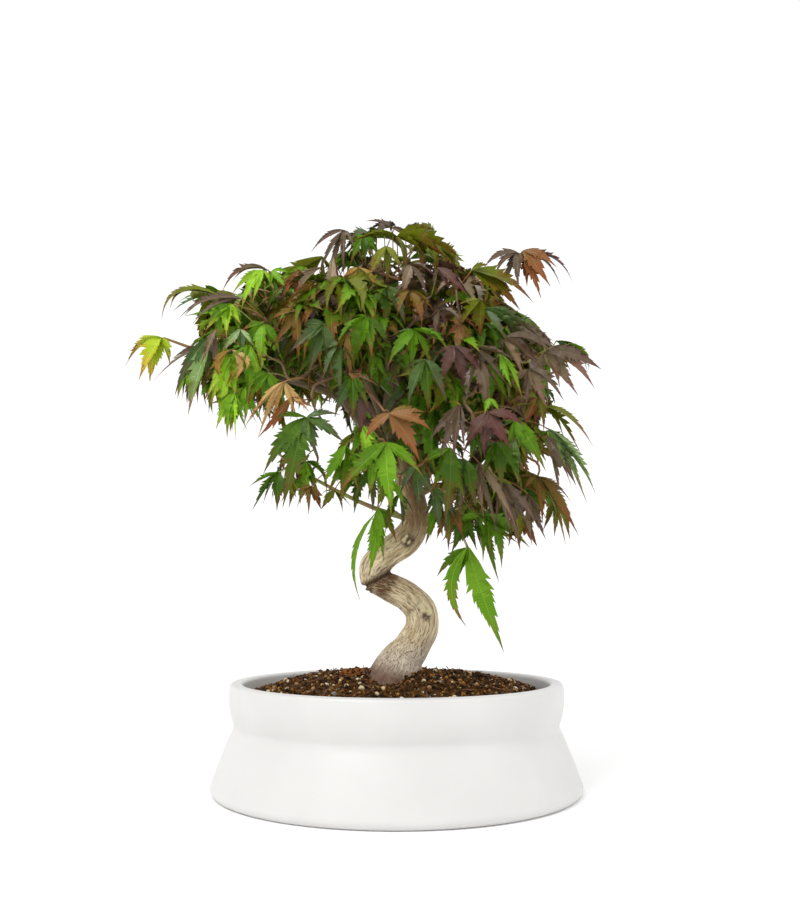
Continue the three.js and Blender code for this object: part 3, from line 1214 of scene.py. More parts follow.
@dataclass(frozen=True)
class Knot:
    """A round scar on the bark: a raised ring round a pit, or round a stub where `pit` is negative."""

    place: tuple[float, float, float]
    reach: float
    height: float
    pit: float

    def relief(self, points: np.ndarray) -> np.ndarray:
        """How far the knot lifts each point, in millimetres.

        Args:
            points: One point a row.

        Returns:
            The lift of each point.
        """
        away = np.linalg.norm(points - np.array(self.place), axis=1) / self.reach
        ring = np.exp(-(((away - 0.75) / 0.3) ** 2))
        return self.height * ring - self.pit * np.exp(-((away / 0.4) ** 2))


@dataclass
class Wood:
    """The S-shaped trunk and its boughs, joined into one skin of bark."""

    trunk_lower: Line = (
        (-3, 0, 62, 22.5), (0.8, -1, 77, 18.2), (4.6, -1.3, 86, 14.8), (9.6, -1.5, 93.5, 12.4),
        (12.8, -1.6, 99, 11.4), (17, -2, 107, 11.2), (16.6, -1.5, 118, 11.2), (8, 0, 127.7, 10.3),
        (-4.8, 1.5, 134.6, 10), (-15.8, 2, 139.4, 9),
    )
    trunk_upper: Line = (
        (-19.6, 1, 135, 5.4), (-17.8, 1, 141, 8.9), (-14.6, 0, 149.5, 10.8), (-6, -1.5, 158, 10.2),
        (4.6, -2.5, 166, 10.3), (11.2, -3, 174, 10), (13.5, -2.5, 184, 9), (11.5, -1, 198, 8.3),
        (7, 0, 211, 8), (4, 0, 224, 7.8),
    )
    toe: Line = ((1, -4, 84, 11), (-4, -8, 75, 12.5), (-9, -11.5, 66, 13), (-11, -12.5, 58, 13))
    nub: Line = ((-17, -1, 137, 4), (-20, -2.5, 134.4, 2.4), (-22.6, -3.2, 133, 1.3))
    boughs: dict[str, Line] = field(
        default_factory=lambda: {
            "leader": ((4, 0, 224, 7), (-4, 4, 256, 6.2), (-2, 2, 292, 5), (-7, -2, 350, 3.6)),
            "left_bough": (
                (1, 0, 230, 5.2), (-22, -4, 248, 4.9), (-42, -4, 274, 4.1), (-68, -2, 302, 3.2),
                (-92, 0, 330, 2.6),
            ),
            "left_lower_bough": ((-36, -4, 266, 3.2), (-58, -12, 274, 2.9), (-98, -16, 284, 2.3)),
            "right_bough": ((3, 0, 231, 5), (22, 2, 248, 4.7), (40, 0, 272, 3.9), (50, -4, 322, 3)),
            "right_lower_bough": ((20, 2, 246, 3.4), (44, -2, 248, 3.1), (84, -8, 238, 2.4)),
            "front_bough": (
                (8, -3, 208, 3.6), (2, -20, 222, 3.3), (-12, -40, 254, 2.9), (-28, -58, 290, 2.4),
            ),
            "right_front_bough": ((25, 2, 252, 3), (34, -18, 258, 2.7), (45, -56, 268, 2.2)),
            "back_bough": ((-1, 3, 242, 4.2), (2, 24, 262, 3.8), (2, 70, 312, 2.8)),
            "left_back_bough": ((-3, 3, 250, 3.8), (-26, 20, 268, 3.4), (-78, 54, 304, 2.5)),
            "right_back_bough": ((-2, 3, 256, 3.8), (24, 20, 268, 3.4), (74, 54, 284, 2.5)),
            "low_back_bough": ((10, 0, 202, 3.2), (10, 22, 214, 2.9), (6, 62, 232, 2.3)),
            "low_right_bough": ((11, -2, 196, 3), (28, -12, 204, 2.6), (60, -22, 200, 2)),
        }
    )
    young: dict[str, Line] = field(
        default_factory=lambda: {
            "low_left_bough": (
                (8, -4, 182, 2.2), (-14, -9, 188.5, 1.6), (-40, -14, 200, 1.3), (-70, -18, 216, 1.0),
            ),
            "trunk_shoot": ((6, -6, 180, 1.4), (-4, -16, 187, 1.0), (-16, -24, 180, 0.8)),
            "left_tip_twig": (
                (-97, -16, 284, 2), (-118, -17, 290, 1.5), (-140, -18, 299, 1.2), (-162, -22, 306.5, 0.8),
            ),
        }
    )
    knots: tuple[Knot, ...] = (
        Knot((20.2, -12.6, 115.9), 4.4, 1.0, 1.2),
        Knot((21.8, -11.6, 118.1), 2.7, 0.4, -1.3),
        Knot((18.4, -12.4, 118.8), 1.9, 0.3, -0.8),
        Knot((7.2, -12.6, 166.6), 5.6, 1.1, 1.2),
        Knot((5.0, -13.0, 166.8), 2.3, 0.5, -1.1),
        Knot((8.4, -13.0, 165.4), 1.7, 0.4, -0.9),
        Knot((7.0, -12.8, 169.6), 1.4, 0.3, -0.8),
        Knot((24.6, 3.0, 100.0), 3.2, 0.7, 0.6),
        Knot((-12.0, 9.5, 150.0), 3.6, 0.9, 0.9),
    )
    # Along the crease the bark is sunk and painted dark as shade.
    crease: Path = (
        (-1.6, -5, 148.2), (-3.2, -7, 146.6), (-6, -8.4, 144.6), (-10, -9, 142.2),
        (-14, -9, 139.9), (-18, -7.6, 137.4), (-21.4, -5, 135.2), (-23, -3.6, 133.4),
    )
    # Painted shade is laid along the hollow and under paths, below the crease.
    hollow: Path = ((-3, -7.5, 143.5), (-5, -9, 140.5), (-7.4, -9.8, 137), (-9.4, -10, 133.6))
    under: Path = ((-6, -9.4, 141.5), (-12, -9.2, 138.4), (-18, -7, 135.6), (-22.6, -4, 133.2))
    scar: Path = (
        (6.4, -10, 115.4), (8.2, -11.4, 116.8), (9.0, -12, 118.8), (11.6, -12, 119.4),
        (12.6, -12, 122.0), (14.6, -11.2, 123.4),
    )
    crease_width: float = 1.7
    crease_depth: float = 2.0
    hollow_width: float = 5.4
    under_width: float = 3.6
    hollow_shade_strength: float = 1.5
    scar_width: float = 1.1
    scar_depth: float = 0.5
    scar_darkness: float = 0.55
    stub_depth_counts: float = 0.25
    limb_sides: int = 24
    limb_step: float = 1.2
    skin_cell: float = 0.85
    evening_rounds: int = 4
    full_ridges_at: float = 9.0
    ridge_size: float = 4.2
    ridge_squeeze: float = 0.35
    fine_ridge_size: float = 1.7
    lump_size: float = 13.0
    lump_height: float = 0.5
    ridge_height: float = 0.42
    buttress_height: float = 1.7
    buttress_top: float = 92.0
    buttress_fade: float = 22.0
    grain_squeeze: float = 0.24
    noise: Lattice = field(default_factory=lambda: Lattice(21))

    def lines(self, swellings: bool = True) -> list[np.ndarray]:
        """Every limb under the bark as even samples, in millimetres.

        Args:
            swellings: Whether the toe and the nub are among them.

        Returns:
            Rows of place and radius for each limb.
        """
        limbs = [self.trunk_lower, self.trunk_upper, *self.boughs.values()]
        limbs += [self.toe, self.nub] if swellings else []
        return [smooth_curve(np.array(limb, float), self.limb_step) for limb in limbs]

    def _joined(self) -> tuple[np.ndarray, np.ndarray, np.ndarray]:
        """Joins the limbs into one skin of small square faces.

        Returns:
            The skin's points and normals, in millimetres, and its faces.
        """
        points, faces, count = [], [], 0
        for line in self.lines():
            places, sides, caps, _ = tube(line[:, :3], line[:, 3], self.limb_sides)
            points.append(places * MM)
            faces += (sides + count).tolist() + (caps + count).tolist()
            count += len(places)
        rough_mesh = bpy.data.meshes.new("limbs")
        rough_mesh.from_pydata(np.vstack(points), [], faces)
        rough = bpy.data.objects.new("limbs", rough_mesh)
        bpy.context.scene.collection.objects.link(rough)
        remesh = rough.modifiers.new("skin", "REMESH")
        remesh.mode = "VOXEL"
        remesh.voxel_size = self.skin_cell * MM
        graph = bpy.context.evaluated_depsgraph_get()
        skin = bpy.data.meshes.new_from_object(rough.evaluated_get(graph))
        bpy.data.objects.remove(rough)
        co = np.empty(len(skin.vertices) * 3)
        skin.vertices.foreach_get("co", co)
        corners = np.empty(len(skin.loops), int)
        skin.loops.foreach_get("vertex_index", corners)
        edges = np.empty(len(skin.edges) * 2, int)
        skin.edges.foreach_get("vertices", edges)
        co, edges, corners = co.reshape(-1, 3) / MM, edges.reshape(-1, 2), corners.reshape(-1, 4)
        co = self._softened(co, edges, self.evening_rounds)
        return co, self._normals(co, corners), corners

    @staticmethod
    def _softened(points: np.ndarray, edges: np.ndarray, rounds: int) -> np.ndarray:
        """Evens out the steps of a skin, and keeps its size.

        Args:
            points: The skin's points, one a row.
            edges: The two points of each edge.
            rounds: How often the points are evened out.

        Returns:
            The moved points.
        """
        count = np.bincount(edges.ravel(), minlength=len(points))[:, None]
        for step in range(rounds * 2):
            total = np.zeros_like(points)
            for axis in range(3):
                total[:, axis] = np.bincount(edges[:, 0], points[edges[:, 1], axis], len(points))
                total[:, axis] += np.bincount(edges[:, 1], points[edges[:, 0], axis], len(points))
            points = points + (0.5 if step % 2 == 0 else -0.5) * (total / count - points)
        return points

    @staticmethod
    def _normals(points: np.ndarray, faces: np.ndarray) -> np.ndarray:
        """The outward direction at each point.

        Args:
            points: One point a row.
            faces: The four corners of each face.

        Returns:
            One direction a row.
        """
        corner = points[faces]
        across = np.cross(corner[:, 2] - corner[:, 0], corner[:, 3] - corner[:, 1])
        total = np.zeros_like(points)
        for axis in range(3):
            total[:, axis] = np.bincount(faces.ravel(), np.repeat(across[:, axis], 4), len(points))
        return unit(total)

    def _on_stick(self, points: np.ndarray) -> np.ndarray:
        """Unrolls the skin, as if each limb were a straight round stick.

        Args:
            points: One point a row.

        Returns:
            Each point's place on its stick.
        """
        best = np.full(len(points), 1e9)
        grain = np.zeros_like(points)
        start = 0.0
        for line in self.lines(False):
            axis, radii = line[:, :3], line[:, 3]
            _, first, second = carried_frames(axis)
            along = start + lengths_along(axis)
            square = (points**2).sum(1)[:, None] + (axis**2).sum(1) - 2 * points @ axis.T
            away = np.sqrt(square.clip(0)) - radii
            nearest = away.argmin(1)
            distance = away[np.arange(len(points)), nearest]
            closer = distance < best
            chosen = nearest[closer]
            best[closer] = distance[closer]
            spoke = points[closer] - axis[chosen]
            x, y = (spoke * first[chosen]).sum(1), (spoke * second[chosen]).sum(1)
            scale = radii[chosen] / np.hypot(x, y).clip(0.1)
            grain[closer] = np.column_stack([x * scale, y * scale, along[chosen] * self.grain_squeeze])
            start = along[-1] + 40
        return grain

    def _relief(self, points: np.ndarray, grain: np.ndarray) -> np.ndarray:
        """How far the bark stands out at each point, in millimetres.

        Args:
            points: One point a row.
            grain: Each point's place on its straight stick.

        Returns:
            One height for each point.
        """
        thick = (np.hypot(grain[:, 0], grain[:, 1]) / self.full_ridges_at).clip(0.25, 1.2)
        stretched = grain * [1, 1, self.ridge_squeeze]
        ridges = self.noise.layered(stretched / self.ridge_size + 3, 3)
        ridges += 0.6 * self.noise.at(stretched / self.fine_ridge_size)
        lumps = self.noise.at(points / self.lump_size + 5)
        relief = self.ridge_height * thick * ridges + self.lump_height * thick * lumps
        low = ((self.buttress_top - points[:, 2]) / self.buttress_fade).clip(0, 1)
        turn = np.arctan2(points[:, 1], points[:, 0] + 1)
        buttress = np.column_stack([np.cos(turn) * 1.6, np.sin(turn) * 1.6, points[:, 2] * 0.02])
        relief += self.buttress_height * low * self.noise.layered(buttress + 13, 2)
        for knot in self.knots:
            relief += knot.relief(points)
        relief -= self.crease_depth * np.exp(-((self._away(points, self.crease) / self.crease_width) ** 2))
        relief -= self.scar_depth * np.exp(-((self._away(points, self.scar) / self.scar_width) ** 2))
        return relief

    @staticmethod
    def _away(points: np.ndarray, path: Path) -> np.ndarray:
        """How far points are from a curve on the front, as it shows from there, in millimetres.

        Args:
            points: One point a row.
            path: The curve's points.

        Returns:
            One distance for each point, which grows fast behind the front.
        """
        line = smooth_curve(np.array(path, float), PATH_STEP)
        aside = np.linalg.norm(points[:, None, [0, 2]] - line[:, [0, 2]], axis=2).min(1)
        return aside + BEHIND_COUNTS * (points[:, 1] - FRONT_EDGE).clip(0)

    def _marks(self, points: np.ndarray) -> np.ndarray:
        """How much painted shade each point gets along the crease, where the scar and the knot rings also
        darken it, how much painted shade it gets in the hollow below the crease, and how pale it is as a
        stub.

        Args:
            points: One point a row.

        Returns:
            The three shares, from 0 to 1, in a row for each point.
        """
        # Painted shade along the crease; the scar and the knot rings share its darkness.
        fold = np.exp(-((self._away(points, self.crease) / (0.75 * self.crease_width)) ** 2))
        scarred = np.exp(-((self._away(points, self.scar) / self.scar_width) ** 2))
        broken = (0.6 + 0.8 * self.noise.at(points / 1.6)).clip(0, 1)
        fold = np.maximum(fold, self.scar_darkness * scarred * broken)
        # Painted shade in the hollow and under the crease.
        shade = np.exp(-((self._away(points, self.hollow) / self.hollow_width) ** 2))
        under = np.exp(-((self._away(points, self.under) / self.under_width) ** 2))
        shade = (self.hollow_shade_strength * np.maximum(shade, under)).clip(0, 1)
        stub = np.zeros(len(points))
        for knot in self.knots:
            depth_counts = self.stub_depth_counts if knot.pit < 0 else 1.0
            offset = (points - np.array(knot.place)) * [1, depth_counts, 1]
            away = np.linalg.norm(offset, axis=1) / knot.reach + 0.35 * self.noise.at(points / 1.3)
            if knot.pit < 0:
                stub = np.maximum(stub, ((0.9 - away) / 0.4).clip(0, 1))
            else:
                fold = np.maximum(fold, 0.9 * ((1.1 - away) / 0.6).clip(0, 1))
        return np.column_stack([fold * (1 - stub), shade, stub])

    def build(self) -> list[bpy.types.Object]:
        """Makes the barked wood and the young green shoots.

        Returns:
            Both pieces.
        """
        points, normals, faces = self._joined()
        grain = self._on_stick(points)
        points = points + normals * self._relief(points, grain)[:, None]
        wood = Piece("wood_bark")
        wood.add(points * MM, [(faces, wood.slot(Bark("bark")))], grain * MM, self._marks(points))
        shoots = Piece("young_shoots")
        skin = Stalk("shoot_skin", "#7d8b3c", "#8c7446")
        for line in self.young.values():
            even = smooth_curve(np.array(line, float), 2.0)
            shoots.add_tube(even[:, :3], even[:, 3], 8, skin)
        return [wood.build("bark", ["trunk", *self.boughs]), shoots.build("bark", list(self.young))]


# ------------------------------------------------------------------ leaves


SHORT_LOBE, LONG_LOBE = 20.0, 36.0


@dataclass
class Lobe:
    """One lobe of a leaf: a curve from the stalk to its tip, and how the blade lies along it."""

    root: np.ndarray
    bend: np.ndarray
    tip: np.ndarray
    face: np.ndarray
    half_width: float
    fold: float
    tint: Tint
    hook: np.ndarray
    turning: float = 0.0
    ripple: float = 0.08

    @property
    def rows(self) -> int:
        """How many parts the lobe is made in, by its length."""
        length = float(np.linalg.norm(self.tip - self.root))
        return 8 if length < SHORT_LOBE else 11 if length < LONG_LOBE else 14


@dataclass(frozen=True)
class Palm:
    """How the lobes of a leaf fan out: the angle of each from the middle one, and its reach."""

    angles: tuple[float, ...]
    reaches: tuple[float, ...]


class Palms(Enum):
    """The two kinds of leaf."""

    SEVEN = Palm((0, 34, -34, 70, -70, 112, -112), (1, 0.93, 0.93, 0.74, 0.74, 0.42, 0.42))
    FIVE = Palm((0, 38, -38, 82, -82), (1, 0.88, 0.88, 0.58, 0.58))


@dataclass
class Leaf:
    """A palmate leaf that hangs from the end of its stalk."""

    base: np.ndarray
    forward: np.ndarray
    face: np.ndarray
    length: float
    tint: Tint
    droop: float
    palm: Palms = Palms.SEVEN
    lift: float = 0.06
    fold: float = 0.5
    slimness: float = 1.0
    turning: float = 0.0

    def lobes(self, rng: np.random.Generator) -> list[Lobe]:
        """Lays out the lobes.

        Args:
            rng: The source of chance.

        Returns:
            The lobes.
        """
        side = np.cross(self.face, self.forward)
        made = []
        for angle, reach in zip(self.palm.value.angles, self.palm.value.reaches):
            turn = math.radians(angle * rng.uniform(0.85, 1.12) + rng.uniform(-6, 6))
            away = math.cos(turn) * self.forward + math.sin(turn) * side
            length = self.length * reach * rng.uniform(0.84, 1.1)
            droop = min(0.92, self.droop * rng.uniform(0.6, 1.35))
            later = unit((1 - droop) * away + droop * DOWN + rng.normal(0, 0.12, 3))
            bend = self.base + away * 0.5 * length + self.face * self.lift * length
            sideways = np.cross(away, self.face) * rng.normal(0, 0.12)
            hook = (sideways - self.face * rng.uniform(-0.04, 0.2)) * length
            made.append(
                Lobe(
                    root=self.base,
                    bend=bend,
                    tip=bend + later * 0.54 * length + hook,
                    face=unit(self.face + rng.normal(0, 0.3, 3)),
                    half_width=length * 0.108 * self.slimness * rng.uniform(0.8, 1.2) + 0.3,
                    fold=self.fold * rng.uniform(0.5, 1.5),
                    tint=self.tint.near(rng),
                    hook=hook,
                    turning=self.turning + rng.normal(0, 0.06),
                )
            )
        return made


class Blades:
    """Makes the meshes of many lobes at once."""

    RIB = 0.2
    SWEEP = 1.42
    FOOT_ROWS = (0.0, 0.16, 0.3)
    HOOKED_FROM = 0.45
    TURNS_AT = (0.36, 0.64, 0.87)
    RIB_FINISH = 4

    def __init__(self, seed: int) -> None:
        """Starts the source of chance.

        Args:
            seed: Its seed.
        """
        self.rng = np.random.default_rng(seed)

    @staticmethod
    def _width(s: np.ndarray) -> np.ndarray:
        """The outline of a lobe: a wedge at its foot, widest near the middle, and a drawn-out tip."""
        drawn = 1 - 0.35 * np.clip((s - 0.5) / 0.35, 0, 1)
        return (s + 0.04) ** 1.2 * (1 - s).clip(0) ** 1.45 * drawn / 0.153

    def add(self, piece: Piece, lobes: Sequence[Lobe]) -> None:
        """Adds lobes to a piece.

        Args:
            piece: The piece that they join.
            lobes: The lobes.
        """
        for rows in sorted({lobe.rows for lobe in lobes}):
            self._add_alike(piece, [lobe for lobe in lobes if lobe.rows == rows], rows)

    def _stations(self, rows: int) -> np.ndarray:
        """How far along a lobe its rows of points are: three on its foot, then one to a tooth."""
        toothed = rows - len(self.FOOT_ROWS) + 1
        return np.concatenate([self.FOOT_ROWS[:-1], np.linspace(self.FOOT_ROWS[-1], 1, toothed + 1)])

    def _curves(
        self, lobes: Sequence[Lobe], stations: np.ndarray
    ) -> tuple[np.ndarray, np.ndarray, np.ndarray]:
        """The middle line of each lobe, with the directions across it and out of its blade.

        Args:
            lobes: The lobes.
            stations: How far along them their rows of points are, from 0 to 1.

        Returns:
            The points and both directions, by lobe and row.
        """
        s = stations[None, :, None]
        root, bend, tip, hook = (
            np.array([getattr(lobe, n) for lobe in lobes])[:, None] for n in ("root", "bend", "tip", "hook")
        )
        tip = tip - hook
        late = np.clip((s - self.HOOKED_FROM) / (1 - self.HOOKED_FROM), 0, 1)
        middle = bowed(root, bend, tip, s) + late**2 * hook
        along = 2 * (1 - s) * (bend - root) + 2 * s * (tip - bend)
        heading = unit(along + 2 * late / (1 - self.HOOKED_FROM) * hook)
        face = np.array([lobe.face for lobe in lobes])
        faces = []
        for k in range(len(stations)):
            face = unit(face - dot(face, heading[:, k]) * heading[:, k])
            faces.append(face)
        out = np.stack(faces, 1)
        return middle, np.cross(heading, out), out

    def _tooth_sizes(self, count: int, rows: int) -> np.ndarray:
        """How big the teeth of one side are: a big and a small one by turns, none on the foot.

        Args:
            count: How many lobes there are.
            rows: How many parts each is made in.

        Returns:
            One size for each part of each lobe.
        """
        rng = self.rng
        small = (np.arange(rows)[None] + rng.integers(0, 2, (count, 1))) % 2 == 1
        low, high = rng.uniform(0.05, 0.6, (count, rows)), rng.uniform(0.5, 1.4, (count, rows))
        sizes = np.where(small, low, high)
        sizes *= rng.uniform(0.65, 1.2, (count, 1))
        sizes[:, : len(self.FOOT_ROWS) - 1] = 0
        return sizes

    def _add_alike(self, piece: Piece, lobes: Sequence[Lobe], rows: int) -> None:
        """Adds lobes that are made in the same number of parts.

        Args:
            piece: The piece that they join.
            lobes: The lobes.
            rows: How many parts each is made in.
        """
        count, rng = len(lobes), self.rng
        s = self._stations(rows)
        curves = self._curves(lobes, s)
        middle, across, _ = curves
        half = np.array([lobe.half_width for lobe in lobes])[:, None]
        fold = np.array([lobe.fold for lobe in lobes])[:, None] * (1 - 0.4 * s)
        ripple = np.array([lobe.ripple for lobe in lobes])[:, None]
        sweep = np.full(rows, self.SWEEP)
        sweep[: len(self.FOOT_ROWS) - 1] = 0.5
        sweep[-1] = 0.5
        between = s[:-1] + sweep * np.diff(s)
        here = [a[:, :-1] * (1 - sweep[:, None]) + a[:, 1:] * sweep[:, None] for a in curves]
        sides = []
        for sign in (-1.0, 1.0):
            sizes = self._tooth_sizes(count, rows)
            bite = np.column_stack([np.zeros(count), sizes])
            wobble = rng.uniform(0.95, 1.05, (count, rows + 1))
            notch = half * self._width(s) * (1 - 0.3 * bite) * wobble + 0.1
            lift = ripple * rng.normal(0, 0.4, notch.shape)
            sides.append(self._edge(*curves, notch * sign, fold, lift))
            reach = half * self._width(between.clip(0, 0.985)) * (1 + 0.38 * sizes) + 0.12
            lift = ripple * rng.normal(0.05, 0.4, reach.shape)
            sides.append(self._edge(*here, reach * sign, fold[:, :-1], lift))
        rib = self.RIB * (1 - 0.75 * s)[None, :, None]
        left_notch, left_tooth, right_notch, right_tooth = sides
        ribs = [middle - across * rib, middle + across * rib]
        points = np.concatenate([*ribs, left_notch, right_notch, left_tooth, right_tooth], 1)
        faces, places = self._faces(s)
        turning = np.array([lobe.turning for lobe in lobes])[:, None]
        late = places + turning + rng.normal(0, 0.07, (count, len(places)))
        shade = np.searchsorted(self.TURNS_AT, late)
        shade[:, places < 0] = self.RIB_FINISH
        slots = np.array([[piece.slot(finish) for finish in lobe.tint.finishes] for lobe in lobes])
        chosen = np.take_along_axis(slots, shade, 1)
        corners = faces[None] + (np.arange(count) * points.shape[1])[:, None, None]
        grain = self._grain(count, rows, sweep)
        piece.add(points.reshape(-1, 3) * MM, [(corners.reshape(-1, 3), chosen.ravel())], grain)

    @staticmethod
    def _edge(
        middle: np.ndarray,
        across: np.ndarray,
        out: np.ndarray,
        reach: np.ndarray,
        fold: np.ndarray,
        lift: np.ndarray,
    ) -> np.ndarray:
        """Points on the edges of lobes, which are folded up from their middle lines.

        Args:
            middle: The middle lines' points.
            across: The directions across the lobes.
            out: The directions out of their blades.
            reach: How far the edges are from the middle lines, below 0 on the left.
            fold: How far the blades are folded, in radians.
            lift: What the edges' ripples add, for each unit of reach.

        Returns:
            The points, by lobe and row.
        """
        size = np.abs(reach)
        aside = across * (reach * np.cos(fold))[..., None]
        return middle + aside + out * (size * (np.sin(fold) + lift))[..., None]

    @staticmethod
    def _grain(count: int, rows: int, sweep: np.ndarray) -> np.ndarray:
        """Where each point lies on its blade: across it, and along it in side veins.

        Args:
            count: How many lobes there are.
            rows: How many parts each is made in.
            sweep: How far forward of its notch each tooth points.

        Returns:
            One vector for each point of every lobe.
        """
        k = np.arange(rows + 1.0)
        zero, one = 0 * k, 1 + 0 * k
        lines = [(zero - 0.05, k), (zero + 0.05, k), (-0.85 * one, k), (0.85 * one, k)]
        lines += [(-one[1:], k[:-1] + sweep), (one[1:], k[:-1] + sweep)]
        x = np.concatenate([line[0] for line in lines])
        y = np.concatenate([line[1] for line in lines])
        return np.tile(np.column_stack([x, y, 0 * x]), (count, 1))

    @staticmethod
    def _faces(stations: np.ndarray) -> tuple[np.ndarray, np.ndarray]:
        """The triangles of one lobe, and how late each turns colour.

        Args:
            stations: How far along the lobe its rows of points are, from 0 to 1.

        Returns:
            The triangles, and for each a share of the lobe's length, or -1 on the midrib.
        """
        rows = len(stations) - 1
        row = rows + 1
        faces, places = [], []
        for k in range(rows):
            left_rib, right_rib, left_notch, right_notch = k, row + k, row * 2 + k, row * 3 + k
            left_tooth, right_tooth = row * 4 + k, row * 4 + rows + k
            faces += [(left_rib, right_rib, right_rib + 1), (left_rib, right_rib + 1, left_rib + 1)]
            faces += [
                (right_rib, right_notch, right_notch + 1),
                (right_notch, right_tooth, right_notch + 1),
                (right_rib, right_notch + 1, right_rib + 1),
                (left_rib, left_notch + 1, left_notch),
                (left_notch, left_notch + 1, left_tooth),
                (left_rib, left_rib + 1, left_notch + 1),
            ]
            here = (stations[k] + stations[k + 1]) / 2
            places += [-1.0 if here < 0.8 else 1.0] * 2
            places += [here, here + 0.1, here, here, here + 0.1, here]
        return np.array(faces), np.array(places)


# ------------------------------------------------------------------ the crown


class Palette(Enum):
    """Which tints the sprays of one part of the crown take, and how often."""

    LIME_SIDE = ((Tint.LIME, 3), (Tint.FRESH, 3), (Tint.BRIGHT, 3), (Tint.GREEN, 1), (Tint.MOSS, 1))
    GREEN_SIDE = (
        (Tint.FRESH, 3), (Tint.BRIGHT, 4), (Tint.GREEN, 3), (Tint.DEEP, 1), (Tint.OLIVE, 2),
        (Tint.MOSS, 1), (Tint.MAUVE, 0.7), (Tint.BRONZE, 0.7),
    )
    CREST = (
        (Tint.GREEN, 3), (Tint.OLIVE, 3), (Tint.MOSS, 3), (Tint.BRONZE, 2), (Tint.MAUVE, 1),
        (Tint.SMOKE, 1), (Tint.AMBER, 0.7),
    )
    DUSK_SIDE = (
        (Tint.MAUVE, 3), (Tint.SMOKE, 2), (Tint.BRONZE, 2), (Tint.GREEN, 2), (Tint.OLIVE, 1.5),
        (Tint.DEEP, 1), (Tint.PLUM, 0.7),
    )
    SHADE = (
        (Tint.GREEN, 4), (Tint.BRIGHT, 3), (Tint.DEEP, 2), (Tint.MOSS, 1), (Tint.OLIVE, 1),
        (Tint.BRONZE, 1),
    )
    EARTH = (
        (Tint.BRONZE, 3), (Tint.GREEN, 3), (Tint.MOSS, 2), (Tint.OLIVE, 2), (Tint.SMOKE, 1),
        (Tint.MAUVE, 1),
    )
    MIXED = (
        (Tint.GREEN, 4), (Tint.BRIGHT, 2), (Tint.DEEP, 2), (Tint.OLIVE, 2), (Tint.MOSS, 2),
        (Tint.BRONZE, 1.5), (Tint.MAUVE, 1), (Tint.AMBER, 0.5),
    )

    def pick(self, rng: np.random.Generator) -> Tint:
        """Deals out one tint."""
        shares = np.array([share for _, share in self.value], float)
        return self.value[rng.choice(len(shares), p=shares / shares.sum())][0]


@dataclass(frozen=True)
class Mass:
    """One cloud of foliage: the node it stands in for, its colours and how its leaves hang."""

    node: str
    region: str
    palette: Palette
    fill: float = 1.0
    droop: float = 0.5
    length: float = 46.0


@dataclass(frozen=True)
class PlacedLeaf:
    """A leaf of the front whose place is settled.

    The base and the tips are given sideways and up, as they show on the upright plane through
    the trunk. `nearer` brings the leaf out in front of the crown's own front, `arch` and `bow`
    bend its lobes up and aside, `width` and `folded` scale their width and folds, and `extra`
    is how many small lobes it has beside the ones with a tip.
    """

    tint: Tint
    base: tuple[float, float]
    tips: tuple[tuple[float, float], ...]
    nearer: float = 0.0
    arch: float = 0.1
    width: float = 1.0
    extra: int = 2
    bow: float = 0.0
    folded: float = 0.7


@dataclass
class FrontView:
    """The place that the tree's front is seen from, and how far out its foliage comes there."""

    eye: tuple[float, float, float] = (2.3, -700.0, 135.0)
    pitch: float = 7.4
    outline_depth: float = 22.0
    middle_depth: float = 74.0
    middle: tuple[float, float] = (-5.0, 285.0)
    spread: tuple[float, float] = (178.0, 135.0)

    def depth(self, x: np.ndarray | float, z: np.ndarray | float) -> np.ndarray | float:
        """How far in front of the trunk the crown's front is.

        Args:
            x: How far to the right a place is.
            z: How high it is.

        Returns:
            The depth there.
        """
        x_part = ((x - self.middle[0]) / self.spread[0]) ** 2
        z_part = ((z - self.middle[1]) / self.spread[1]) ** 2
        return self.outline_depth + self.middle_depth * np.clip(1 - x_part - z_part, 0, 1)

    def seen(self, points: np.ndarray) -> np.ndarray:
        """Where points show, sideways and up, on the upright plane through the trunk.

        Args:
            points: One point a row.

        Returns:
            One place a row.
        """
        eye = np.array(self.eye)
        on_plane = eye + (points - eye) * (-eye[1] / (points[..., 1:2] - eye[1]))
        return on_plane[..., [0, 2]]

    def brought(self, x: float, z: float, depth: float) -> np.ndarray:
        """Brings a point of the trunk's plane forward along the line of sight."""
        eye = np.array(self.eye)
        return eye + (np.array([x, 0, z]) - eye) * (-eye[1] - depth) / -eye[1]


@dataclass(frozen=True)
class Opening:
    """A patch of sky in the crown, as it shows from the front: an upright ellipse."""

    x: float
    z: float
    half_x: float
    half_z: float

    def holds(self, places: np.ndarray) -> np.ndarray:
        """Which places lie in the patch."""
        aside, up = (places[..., 0] - self.x) / self.half_x, (places[..., 1] - self.z) / self.half_z
        return np.hypot(aside, up) < 1


